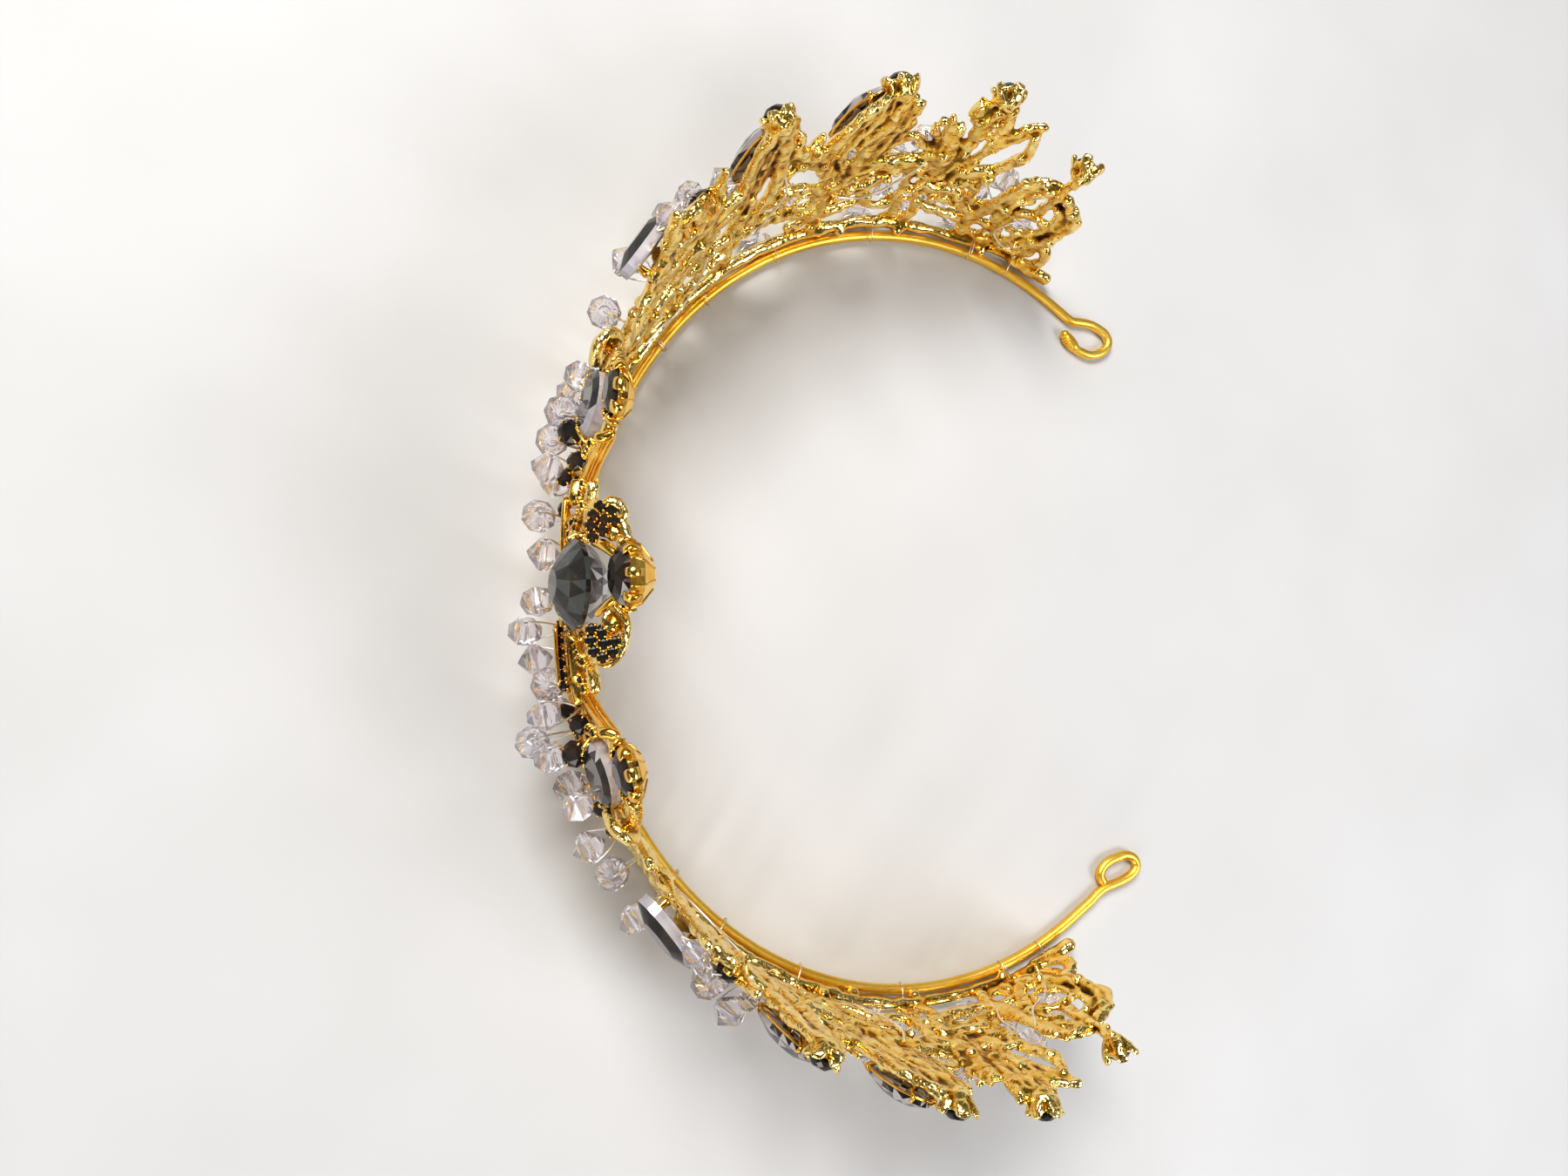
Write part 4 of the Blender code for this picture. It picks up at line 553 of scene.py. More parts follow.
def gold_cast():
    """Bright plating over a rough casting: dark brown painted shade in the hollows, paler gold on the ridges."""
    s = Shader("gilt_casting", Metallic=1.0, IOR=1.5)
    both = s.node("ShaderNodeSeparateColor")
    s.link(s.attribute("hollow_shade_and_calm"), both.inputs[0])
    hollow_shade, calm = both.outputs[0], both.outputs[1]
    blot = s.noise(0.30, 3.0)
    fine = s.noise(1.3, 4.0, 0.6)
    lift = s.maths("ADD", hollow_shade, s.span(fine, -0.13, 0.13))
    # tone from the hollow measure: dark brown painted shade in the hollows, rising to pale gold on the ridges
    tone = s.ramp(lift, [(0.08, (0.050, 0.018, 0.002)), (0.27, (0.22, 0.090, 0.010)), (0.42, (0.68, 0.36, 0.052)),
                         (0.56, (0.88, 0.545, 0.090)), (0.74, (0.98, 0.67, 0.165)), (0.95, (1.0, 0.78, 0.31))])
    tone = s.mix(s.span(blot, 0.0, 0.55, 0.42, 0.72), tone, (0.78, 0.36, 0.045))
    # olive-tinted patches: painted reflection of dark green surroundings in the gold
    olive_reflection = s.noise(0.22, 2.0)
    tone = s.mix(s.span(olive_reflection, 0.0, 0.40, 0.48, 0.72), tone, (0.66, 0.50, 0.075))
    s.set("Base Color", tone)
    grain = s.noise(2.0, 4.0, 0.65)
    s.set("Roughness", s.maths("ADD", s.span(grain, 0.14, 0.25, 0.3, 0.72), s.span(hollow_shade, 0.30, 0.0, 0.1, 0.45), True))
    fold = s.maths("ABSOLUTE", s.maths("SUBTRACT", s.noise(0.58, 2.0, 0.5, warp=0.5), 0.5))
    a = s.bump(s.maths("MULTIPLY", fold, s.maths("ADD", calm, 0.02)), 0.78, 0.66)
    s.set("Normal", s.bump(s.maths("MULTIPLY", s.noise(2.0, 3.0, 0.5), calm), 0.35, 0.040, a))
    return s.mat


def gold_smooth(name="gilt_polished", base=(0.88, 0.50, 0.085), pale=(0.96, 0.66, 0.18), rough=(0.12, 0.28)):
    """Polished settings: claws, cups and bezels."""
    s = Shader(name, Metallic=1.0)
    n = s.noise(0.5, 3.0)
    s.set("Base Color", s.mix(s.span(n, 0.0, 1.0, 0.35, 0.7), base, pale))
    f = s.noise(2.2, 4.0)
    s.set("Roughness", s.span(f, rough[0], rough[1], 0.3, 0.7))
    s.set("Normal", s.bump(s.noise(1.4, 4.0, 0.55), 0.35, 0.06))
    return s.mat


def gold_band():
    """Satin wire: faint dents, fine grain and slightly rubbed plating."""
    s = Shader("gilt_band", Metallic=1.0)
    n = s.noise(0.12, 3.0)
    tone = s.mix(s.span(n, 0.0, 1.0, 0.35, 0.68), (0.90, 0.56, 0.085), (0.98, 0.68, 0.145))
    rub = s.noise(0.9, 5.0, 0.7)
    tone = s.mix(s.span(rub, 0.0, 0.6, 0.62, 0.8), tone, (0.70, 0.37, 0.05))
    s.set("Base Color", tone)
    f = s.noise(1.8, 5.0, 0.65)
    s.set("Roughness", s.span(f, 0.34, 0.52, 0.3, 0.7))
    a = s.bump(s.noise(0.28, 2.0), 0.5, 0.16)
    s.set("Normal", s.bump(s.noise(3.0, 5.0, 0.7), 0.28, 0.03, a))
    return s.mat


def smoky(name="dark_stone", dark=(0.020, 0.022, 0.021), brown=(0.060, 0.040, 0.030)):
    """Smoky glass, near black, foiled with dark behind: faint brown zones and a polished skin."""
    s = Shader(name, Metallic=0.0, Roughness=0.02, IOR=1.50, Transmission_Weight=0.35, Specular_Tint=(0.40, 0.42, 0.42, 1.0))
    n = s.noise(0.16, 2.0)
    s.set("Base Color", s.mix(s.span(n, 0.0, 1.0, 0.38, 0.66), dark, brown))
    return s.mat


def lilac(name="pale_facet"):
    """Side facets of the dark stones: milky lilac white, partly clear glass over the foil and partly painted light."""
    s = Shader(name, Metallic=0.0, Roughness=0.03, IOR=1.55, Transmission_Weight=0.55)
    n = s.noise(0.35, 3.0)
    s.set("Base Color", s.mix(s.span(n, 0.0, 1.0, 0.35, 0.65), (0.80, 0.74, 0.80), (0.92, 0.90, 0.95)))
    return s.mat


def sparkle(name="foiled_back_painted_glints"):
    """Back facets of the great stone: brown-black foil with paler brown patches as painted glints."""
    s = Shader(name, Metallic=0.0, Roughness=0.03, IOR=1.60, Transmission_Weight=0.25, Specular_Tint=(0.60, 0.58, 0.58, 1.0))
    s.set("Base Color", s.mix(s.span(s.noise(0.7, 3.0), 0.0, 1.0, 0.40, 0.60), (0.24, 0.17, 0.15), (0.055, 0.040, 0.036)))
    return s.mat


def clear(name="crystal", tint=(0.97, 0.93, 0.965), other=(0.93, 0.91, 0.97)):
    """Clear crystal with the faintest lilac tint."""
    s = Shader(name, Metallic=0.0, Roughness=0.01, IOR=1.54, Transmission_Weight=0.84, Specular_IOR_Level=0.6)
    n = s.noise(0.10, 2.0)
    s.set("Base Color", s.mix(s.span(n, 0.0, 1.0, 0.4, 0.6), tint, other))
    return s.mat


def thin_wire(name, base, pale, rough=0.2):
    s = Shader(name, Metallic=1.0)
    n = s.noise(0.8, 3.0)
    s.set("Base Color", s.mix(s.span(n, 0.0, 1.0, 0.35, 0.65), base, pale))
    s.set("Roughness", s.span(s.noise(3.0, 3.0), rough * 0.7, rough * 1.5, 0.3, 0.7))
    s.set("Normal", s.bump(s.noise(3.0, 3.0), 0.3, 0.03))
    return s.mat


CAST = gold_cast()
POLISH = gold_smooth()
BAND = gold_band()
SMOKY = smoky()
LILAC = lilac()
SPARK = sparkle()
# paler grey copy of the smoky glass: painted highlight on some crown facets of the great stone
LIT_FACET_PAINT = smoky("painted_lit_facet", (0.085, 0.100, 0.095), (0.12, 0.125, 0.12))
CLEAR = clear()
SILVER = thin_wire("fine_wire", (0.84, 0.79, 0.72), (0.95, 0.92, 0.88), 0.34)
COPPER = thin_wire("binding_wire", (0.78, 0.58, 0.38), (0.93, 0.82, 0.64), 0.3)
# ------------------------------------------------------------------ mesh tools
MM = 0.001
WHERE = np.array(SHIFT)


class Heap:
    """Faces of one piece while it is put together, in millimetres in the band's own frame."""

    def __init__(self):
        self.v, self.f, self.m, self.s = [], [], [], []

    def add(self, made, mat=0, smooth_shade=True):
        verts, faces = made
        k = len(self.v)
        self.v += [tuple(float(c) for c in p) for p in verts]
        self.f += [tuple(k + i for i in f) for f in faces]
        self.m += [mat] * len(faces)
        self.s += [smooth_shade] * len(faces)

    def mesh(self, name, mats):
        me = bpy.data.meshes.new(name)
        me.from_pydata(((np.array(self.v) + WHERE) * MM).tolist(), [], self.f)
        for m in mats:
            me.materials.append(m)
        me.polygons.foreach_set("material_index", self.m)
        me.polygons.foreach_set("use_smooth", self.s)
        bm = bmesh.new()
        bm.from_mesh(me)
        bmesh.ops.recalc_face_normals(bm, faces=bm.faces[:])
        bm.to_mesh(me)
        bm.free()
        me.update()
        return me


def put(name, me, replaces=()):
    ob = bpy.data.objects.new(name, me)
    bpy.context.scene.collection.objects.link(ob)
    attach(ob, "root")
    if replaces:
        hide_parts(*replaces)
    return ob


def widths(val, m):
    """A run of sizes spread smoothly over m stations."""
    val = np.atleast_1d(np.asarray(val, float))
    if len(val) == 1:
        return np.full(m, val[0])
    q = smooth(val[:, None], 12)[:, 0] if len(val) > 2 else val
    return np.maximum(np.interp(np.linspace(0, 1, m), np.linspace(0, 1, len(q)), q), 0.05)


def rounded(rings, cap=True):
    """Closed skin with the two ends drawn to a point so that they look melted, not sawn."""
    rings = [np.asarray(r) for r in rings]
    for end, nxt in ((0, 1), (-1, -2)):
        c = rings[end].mean(0)
        d = c - rings[nxt].mean(0)
        r = np.linalg.norm(rings[end] - c, axis=1).mean()
        d = unit(d) * r * 0.55
        tip = [c + (p - c) * 0.55 + d for p in rings[end]]
        rings = [np.array(tip)] + rings if end == 0 else rings + [np.array(tip)]
    return skin(rings)


def blade(side, pts, a, b, dish=0.0, ridges=0, relief=0.0, sides=18, n=6, phase=0.0, twist=0.0):
    """Cast leaf or bar: rounded section of half width a and half thickness b, dished and ridged along its length."""
    rows = np.array([tuple(p) + (0.0,) * (3 - len(p)) for p in pts], float)
    rows = smooth(rows, n)
    m = len(rows)
    A, B = widths(a, m), widths(b, m)
    B = np.minimum(B, 0.35 + A * 0.75)
    path = np.array([wall(side, *r) for r in rows])
    tan = np.gradient(path, axis=0)
    rings = []
    for i, r in enumerate(rows):
        nor = unit(wall(side, r[0], r[1], r[2] + 1.0) - path[i])
        t = unit(tan[i])
        across = unit(np.cross(t, nor))
        nor = np.cross(across, t)
        if twist:
            g = math.radians(twist) * (i / (m - 1) - 0.5)
            across, nor = across * math.cos(g) + nor * math.sin(g), nor * math.cos(g) - across * math.sin(g)
        ring_pts = []
        for j in range(sides):
            f = 2 * math.pi * (j + 0.5) / sides
            x, y = math.cos(f), math.sin(f)
            h = B[i] * np.sign(y) * abs(y) ** 0.8
            h += dish * A[i] * (x * x - 0.45)
            if ridges:
                h += relief * math.cos(math.pi * ridges * x + phase) * abs(y)
            ring_pts.append(path[i] + across * A[i] * x + nor * h)
        rings.append(ring_pts)
    return rounded(rings)


def rod(path, radii, sides=10, closed=False, n=1, ends=True):
    """Round wire through world points, with an untwisted frame carried along it."""
    P = np.asarray(path, float)
    if n > 1:
        if closed:
            P = smooth(np.vstack([P, P[:1]]), n)[:-1]
        else:
            P = smooth(P, n)
    m = len(P)
    R = widths(radii, m)
    tan = (np.roll(P, -1, 0) - np.roll(P, 1, 0)) if closed else np.gradient(P, axis=0)
    x = None
    rings = []
    for i in range(m):
        t = unit(tan[i])
        if x is None:
            x = unit(np.cross(t, (0.31, 0.22, 0.92)))
        x = unit(x - t * np.dot(x, t))
        y = np.cross(t, x)
        rings.append([P[i] + R[i] * (x * math.cos(2 * math.pi * j / sides) + y * math.sin(2 * math.pi * j / sides))
                      for j in range(sides)])
    if closed:
        return skin(rings, True)
    return rounded(rings) if ends else skin(rings)


def ball(c, r, squash=None, n=8):
    """Melted grain of metal, optionally flattened along a direction."""
    c = np.asarray(c, float)
    rings = []
    for i in range(1, n):
        f = math.pi * i / n
        rings.append([np.array([math.sin(f) * math.cos(2 * math.pi * j / (2 * n)),
                                math.sin(f) * math.sin(2 * math.pi * j / (2 * n)), math.cos(f)]) for j in range(2 * n)])
    V, F = skin(rings)
    V = np.array(V) * r
    if squash is not None:
        d, k = unit(squash[0]), squash[1]
        V = V - np.outer(V @ d, d) * (1 - k)
    return [tuple(p) for p in V + c], F


def ringlet(side, u, v, w, ru, rv, r, spin=0.0, n=22, sides=10, flat=1.0):
    """Open ring of a casting."""
    s = math.radians(spin)
    pts = []
    for i in range(n):
        f = 2 * math.pi * i / n
        x, y = ru * math.cos(f), rv * math.sin(f)
        pts.append(wall(side, u + x * math.cos(s) - y * math.sin(s), v + x * math.sin(s) + y * math.cos(s), w))
    return rod(pts, r, sides, closed=True)


def lathe(centre, axes, rows, kind="oval", a=1.0, b=1.0, sides=32, ribs=0, rib=0.0, phase=0.0):
    """Turned body about 'out'; rows are (scale, height); ribs flute its side."""
    across, up, out = axes
    rings = []
    for k, h in rows:
        pts = []
        for j in range(sides):
            f = 2 * math.pi * (j + phase) / sides
            x, y = outline(kind, a, b, f)
            q = max(k, 0.02) * (1 + (rib * math.cos(ribs * f) if ribs else 0.0) * (1 if k > 0.2 else 0))
            pts.append(centre + out * h + across * x * q + up * y * q)
        rings.append(pts)
    return skin(rings)


def hull(points):
    """Convex body of the points, flat facets."""
    bm = bmesh.new()
    vs = [bm.verts.new(tuple(float(c) for c in p)) for p in points]
    out = bmesh.ops.convex_hull(bm, input=vs, use_existing_faces=False)
    loose = [g for g in out["geom_interior"] + out["geom_unused"] if isinstance(g, bmesh.types.BMVert)]
    bmesh.ops.delete(bm, geom=list(set(loose)), context="VERTS")
    bm.verts.index_update()
    V = [tuple(v.co) for v in bm.verts]
    F = [tuple(v.index for v in f.verts) for f in bm.faces]
    bm.free()
    return V, F


def gem(centre, axes, kind, a, b, crown, pavilion, n, table=0.52, girdle=0.13, fine=False):
    """Faceted stone: table, star and main crown facets, girdle, pavilion mains and culet."""
    across, up, out = axes
    pts = []

    def rim(k, h, count, turn):
        for j in range(count):
            x, y = outline(kind, a, b, 2 * math.pi * (j + turn) / count)
            pts.append(centre + across * x * k + up * y * k + out * h)

    rim(table, crown, n, 0.5)
    rim(0.5 * (table + 1.0) + 0.03, crown * 0.60, n, 0.0)
    rim(1.0, girdle, 2 * n, 0.0)
    rim(1.0, -girdle, 2 * n, 0.0)
    if fine:
        rim(0.90, -girdle - (pavilion - girdle) * 0.22, n, 0.0)
        rim(0.74, -girdle - (pavilion - girdle) * 0.46, 2 * n, 0.5)
        rim(0.50, -girdle - (pavilion - girdle) * 0.72, n, 0.0)
        rim(0.22, -girdle - (pavilion - girdle) * 0.92, n, 0.5)
    else:
        rim(0.64, -pavilion * 0.52, n, 0.0)
        rim(0.30, -pavilion * 0.84, n, 0.5)
    pts.append(centre - out * pavilion)
    return hull(pts)


def tone_by_facet(heap, made, centre, out, cut, front=0, back=1, mixed=None):
    """Adds a stone facet by facet: those behind the cut take the second material, or one picked from a list; the pale
    and glint colours there are partly painted light.
    """
    pick = random.Random(12)
    verts, faces = made
    P = np.array(verts)
    shift = len(heap.v)
    heap.v += [tuple(p) for p in verts]
    for f in faces:
        h = float(np.dot(P[list(f)].mean(0) - centre, out))
        heap.f.append(tuple(shift + i for i in f))
        heap.m.append(front if h > cut else pick.choice(mixed) if mixed else back)
        heap.s.append(False)


def tray(heap, centre, axes, kind, a, b, r=0.32, low=-0.45, angles=(25, 65, 115, 155, 205, 245, 295, 335), reach=0.9, prong=0.38):
    """Open setting of a long stone: a thin rim round its girdle and short prongs folded over it."""
    across, up, out = axes
    def at(f, k, h):
        x, y = outline(kind, a, b, f)
        return centre + across * x * k + up * y * k + out * h
    heap.add(rod([at(2 * math.pi * i / 40, 1.04, low) for i in range(40)], r, 8, closed=True))
    for g in angles:
        f = math.radians(g)
        heap.add(rod([at(f, 0.86, low - 0.7), at(f, 1.08, low), at(f, 1.10, low + 0.55 * reach), at(f, 0.93, low + reach)],
                     (prong, prong * 1.15, prong, prong * 0.75), 8, n=3))


def bicone(c, axis, r, h, n=8, end=0.34, hole=0.12, turn=0.0):
    """Crystal bead: two faceted cones base to base, drilled through; closed and flat faceted."""
    axis = unit(axis)
    x = unit(np.cross(axis, (0.3, 0.9, 0.2)))
    y = np.cross(axis, x)

    def rim(k, z, count, t):
        return [c + axis * z + r * k * (x * math.cos(2 * math.pi * (j + t + turn) / count)
                                        + y * math.sin(2 * math.pi * (j + t + turn) / count)) for j in range(count)]

    rows = [rim(hole, h, n, 0), rim(end, h, n, 0), rim(1.0, 0.0, n, 0.5), rim(end, -h, n, 0), rim(hole, -h, n, 0)]
    V = [tuple(p) for q in rows for p in q]
    F = []
    for j in range(n):
        k = (j + 1) % n
        F += [(j, k, n + k, n + j)]                                              # end ring
        F += [(n + j, n + k, 2 * n + j), (n + k, 2 * n + k, 2 * n + j)]          # upper cone
        F += [(3 * n + j, 2 * n + j, 3 * n + k), (3 * n + k, 2 * n + j, 2 * n + k)]
        F += [(3 * n + j, 3 * n + k, 4 * n + k, 4 * n + j)]
        F += [(j, 4 * n + j, 4 * n + k, k)]                                      # hole
    return V, F


# ------------------------------------------------------------------ relief worked into the cast meshes
def lattice(i, j, k, seed):
    n = (i * 374761393 + j * 668265263 + k * 1440662683 + seed * 1013904223) & 0xFFFFFFFF
    n = ((n ^ (n >> 13)) * 1274126177) & 0xFFFFFFFF
    n = ((n ^ (n >> 16)) * 2246822519) & 0xFFFFFFFF
    return ((n ^ (n >> 15)) & 0xFFFF) / 32767.5 - 1.0


def grain(P, size, seed):
    """Smooth value noise in -1..1 at a feature size in mm."""
    q = P / size
    i0 = np.floor(q).astype(np.int64)
    f = q - i0
    f = f * f * (3 - 2 * f)
    out = 0.0
    for a in (0, 1):
        for b in (0, 1):
            for c in (0, 1):
                wgt = (f[:, 0] if a else 1 - f[:, 0]) * (f[:, 1] if b else 1 - f[:, 1]) * (f[:, 2] if c else 1 - f[:, 2])
                out = out + wgt * lattice(i0[:, 0] + a, i0[:, 1] + b, i0[:, 2] + c, seed)
    return out


def cells(P, size, seed):
    """Distance to the nearest and the second nearest of scattered points, as a share of the cell."""
    q = P / size
    i0 = np.floor(q).astype(np.int64)
    near, next_ = np.full(len(P), 9.0), np.full(len(P), 9.0)
    for a in (-1, 0, 1):
        for b in (-1, 0, 1):
            for c in (-1, 0, 1):
                i, j, k = i0[:, 0] + a, i0[:, 1] + b, i0[:, 2] + c
                spot = np.stack([i + 0.5 + 0.42 * lattice(i, j, k, seed), j + 0.5 + 0.42 * lattice(i, j, k, seed + 71),
                                 k + 0.5 + 0.42 * lattice(i, j, k, seed + 137)], 1)
                d = np.linalg.norm(q - spot, axis=1)
                next_ = np.minimum(next_, np.maximum(near, d))
                near = np.minimum(near, d)
    return near, next_


def arrays(me):
    co = np.zeros(len(me.vertices) * 3, np.float32)
    me.vertices.foreach_get("co", co)
    no = np.zeros(len(me.vertices) * 3, np.float32)
    me.vertex_normals.foreach_get("vector", no)
    ed = np.zeros(len(me.edges) * 2, np.int32)
    me.edges.foreach_get("vertices", ed)
    return co.reshape(-1, 3).astype(float) / MM - WHERE, no.reshape(-1, 3).astype(float), ed.reshape(-1, 2)


def relax(P, ed, rounds, k=0.5):
    cnt = np.bincount(ed.ravel(), minlength=len(P))[:, None].clip(1)
    for _ in range(rounds):
        s = np.stack([np.bincount(ed[:, 0], P[ed[:, 1], c], len(P)) + np.bincount(ed[:, 1], P[ed[:, 0], c], len(P))
                      for c in range(P.shape[1])], 1)
        P = P + (s / cnt - P) * k
    return P


def cast(name, body, voxel, seed, crisp=None, mats=None, limit=185000, rough=1.0, calm=0.2, replaces=()):
    """Fuses the parts of a casting into one skin, as the poured metal is, and works its rough surface into it."""
    raw = bpy.data.objects.new(name + "_raw", body.mesh(name + "_raw", []))
    bpy.context.scene.collection.objects.link(raw)
    mod = raw.modifiers.new("fuse", "REMESH")
    mod.mode, mod.voxel_size, mod.adaptivity, mod.use_smooth_shade = "VOXEL", voxel * MM, 0.0, True
    dg = bpy.context.evaluated_depsgraph_get()
    me = bpy.data.meshes.new_from_object(raw.evaluated_get(dg))
    bpy.data.objects.remove(raw, do_unlink=True)
    P, N, ed = arrays(me)
    P = relax(P, ed, 2, 0.6)
    me.vertices.foreach_set("co", ((P + WHERE) * MM).astype(np.float32).ravel())
    me.update()
    P, N, ed = arrays(me)
    ridge = 1.0 - np.abs(grain(P * (1.0, 1.0, 0.55), 1.5, seed + 5)) * 2.0
    warp = np.stack([grain(P, 1.8, seed + 20 + k) for k in range(3)], 1) * 0.5
    lump, _ = cells((P + warp) * (1.0, 1.0, 0.45), 1.9, seed + 7)
    f1, f2 = cells((P + warp) * (1.0, 1.0, 0.5), 0.95, seed + 9)
    d = (0.26 * grain(P, 3.0, seed) + 0.12 * grain(P, 1.5, seed + 1) + 0.20 * ridge + 0.16 * (0.42 - lump)
         + 0.09 * (0.30 - np.minimum(f2 - f1, 0.45)) + 0.02 * grain(P, 0.6, seed + 2)) * rough
    d = d * np.clip((P[:, 2] - 1.5) / 4.5, calm, 1.0)
    P = P + N * d[:, None]
    P[:, 2] = np.maximum(P[:, 2], 0.05)                  # nothing reaches below the floor
    me.vertices.foreach_set("co", ((P + WHERE) * MM).astype(np.float32).ravel())
    me.update()
    tris = 2 * len(me.polygons)
    if tris > limit:
        ob = bpy.data.objects.new(name + "_thin", me)
        bpy.context.scene.collection.objects.link(ob)
        mod = ob.modifiers.new("thin", "DECIMATE")
        mod.ratio = limit / tris
        dg = bpy.context.evaluated_depsgraph_get()
        me2 = bpy.data.meshes.new_from_object(ob.evaluated_get(dg))
        bpy.data.objects.remove(ob, do_unlink=True)
        me = me2
    P, N, ed = arrays(me)
    # curvature at three scales, low in the hollows: it sets the painted shade in the casting's colour
    curve = 0.0
    for rounds, gain in ((3, 2.4), (14, 1.5), (44, 0.75)):
        S = relax(P, ed, rounds, 0.6)
        curve = curve + ((P - S) * N).sum(1) * gain
    hollow_shade = np.clip(0.5 + curve, 0, 1)
    me.name = name
    me.polygons.foreach_set("use_smooth", [True] * len(me.polygons))
    # red and blue carry the hollow measure for painted shade, green the calm factor for the bumps
    tag = me.color_attributes.new("hollow_shade_and_calm", "FLOAT_COLOR", "POINT")
    plain = np.clip((P[:, 2] - 1.5) / 4.5, calm, 1.0)    # smooth rails below, rough work above
    tag.data.foreach_set("color", np.stack([hollow_shade, plain, hollow_shade, np.ones(len(hollow_shade))], 1).astype(np.float32).ravel())
    me.materials.clear()
    for m in (mats or [CAST]):
        me.materials.append(m)
    me.polygons.foreach_set("material_index", [0] * len(me.polygons))
    if crisp is not None and crisp.v:
        extra = crisp.mesh(name + "_crisp", mats or [CAST])
        tag = extra.color_attributes.new("hollow_shade_and_calm", "FLOAT_COLOR", "POINT")
        tag.data.foreach_set("color", [0.62, 0.30, 0.62, 1.0] * len(extra.vertices))
        bm = bmesh.new()
        bm.from_mesh(me)
        bm.from_mesh(extra)
        bm.to_mesh(me)
        bm.free()
        bpy.data.meshes.remove(extra)
    me.update()
    print(name, "triangles", sum(len(p.vertices) - 2 for p in me.polygons))
    return put(name, me, replaces)
# ------------------------------------------------------------------ band
def band():
    arc = [(*ring(s)[:2], WIRE_R) for s in np.linspace(-138.0, 138.8, 170)]
    hook = [(-58.0, 59.0), (-56.5, 61.1), (-56.3, 63.3), (-56.0, 65.5), (-55.2, 67.4), (-54.2, 68.8), (-52.6, 69.4),
            (-51.3, 68.8), (-50.2, 67.3), (-49.7, 65.2), (-50.1, 63.3), (-50.9, 61.8), (-51.7, 60.9)]
    eye = [(57.9, 59.4), (56.1, 61.5), (55.2, 63.3), (54.6, 65.4), (53.9, 67.5), (52.9, 69.3), (51.4, 70.2), (49.9, 69.5),
           (49.3, 67.8), (49.7, 66.0), (50.5, 63.8), (51.8, 62.4), (53.0, 62.1), (54.2, 62.7)]
    left = [(x, y, WIRE_R) for x, y in reversed(hook)]
    right = [(x, y, WIRE_R) for x, y in eye]
    pts = smooth(left, 4)[:-1].tolist() + arc + smooth(right, 4)[1:].tolist()
    h = Heap()
    h.add(rod(pts, WIRE_R, 24))
    # wrapped knob that closes the hook: turns of thin wire over the end, and a collar
    a, b = np.array([-51.3, 61.4, WIRE_R]), np.array([-53.2, 59.8, WIRE_R])
    t = unit(b - a)
    x = unit(np.cross(t, (0, 0, 1)))
    y = np.cross(x, t)
    coil = []
    for i in range(91):
        f = i / 90
        r = 1.02 + 0.10 * math.sin(math.pi * f)
        g = 2 * math.pi * 5.0 * f
        coil.append(a + (b - a) * f + x * r * math.cos(g) + y * min(r, 0.84) * math.sin(g))
    h.add(rod([a - t * 0.6, a, (a + b) / 2, b, b + t * 0.5], (0.95, 1.1, 1.1, 1.0, 0.6), 16, n=3))
    h.add(rod(coil, 0.24, 8))
    h.add(ball(b + t * 0.35 + np.array([0, 0, 0.05]), 1.0))
    return put("band_wire", h.mesh("band_wire", [BAND]), ("band",))


band()

# ------------------------------------------------------------------ castings
dice = random.Random(41)


def layer(i):
    """Bars that cross lie at slightly different depths."""
    return 0.11 * ((i * 7) % 5 - 2)


def lay(heap, side, design, flip=1, fine=1.0):
    """Bars as rounded strands, leaves as dished and ridged blades, with a melted grain where they start and end."""
    for i, (pts, a, b) in enumerate(design):
        pts = [(flip * p[0], p[1], p[2] if len(p) > 2 else layer(i)) for p in pts]
        wide = len(a) > 2
        top = max(a)
        if wide and top > 2.0:
            heap.add(blade(side, pts, a, b * 0.72, dish=0.10, ridges=3 if top < 3 else 5, relief=0.16 * fine, sides=30,
                           phase=0.6 * i))
            rows = smooth([tuple(p) for p in pts], 4)
            A = widths(a, len(rows))
            for sgn in (-1, 1):                          # rolled edges
                edge = []
                for j in range(len(rows)):
                    t = rows[min(j + 1, len(rows) - 1)] - rows[max(j - 1, 0)]
                    k = unit((-t[1], t[0])) * (A[j] - 0.25) * sgn
                    edge.append((rows[j][0] + k[0], rows[j][1] + k[1], rows[j][2] - 0.15))
                heap.add(rod([wall(side, *e) for e in edge], 0.50, 8))
        else:
            heap.add(blade(side, pts, a, b * 0.92, ridges=2 if wide else 0, relief=0.10, sides=16, phase=i))
        for e in (0, -1):
            heap.add(ball(wall(side, *pts[e]), min(1.35, 0.55 + 0.45 * np.atleast_1d(a)[e]), n=6))


def bowl(heap, side, u, v, w, r, depth, tip, spin, claws=5, claw=0.62, reach=1.5, lean=0.25, ribs=0, steps=36,
         start=0.0, back=1.0):
    """Cup of a setting, seen from behind as a cone, with a scalloped mouth of broad short tabs."""
    centre, axes = wall(side, u, v, w), frame_at(side, u, v, tip, 0.0, spin)
    across, up, out = axes
    heap.add(lathe(centre, axes, [(0.0, -0.90 * depth * back), (0.26, -0.80 * depth * back), (0.55, -0.48 * depth), (0.84, -0.06 * depth),
                                  (1.02, 0.20 * depth), (1.08, 0.36 * depth), (0.98, 0.38 * depth), (0.84, 0.22 * depth),
                                  (0.0, -0.16 * depth)], a=r, b=r, sides=steps, ribs=ribs or claws, rib=0.05))
    for j in range(claws):
        f = 2 * math.pi * (j + start) / claws
        e = across * math.cos(f) + up * math.sin(f)
        t = across * -math.sin(f) + up * math.cos(f)
        heap.add(slab([centre + e * r * 0.42 - out * 0.66 * depth, centre + e * r * 0.80 - out * 0.10 * depth, centre + e * r * 1.03 + out * 0.34 * depth,
                       centre + e * (r * 1.05 + 0.6 * lean) + out * (0.36 * depth + 0.7 * reach), centre + e * (r * 0.98 + lean) + out * (0.36 * depth + 1.5 * reach)],
                      t, claw * 0.74, 0.52))


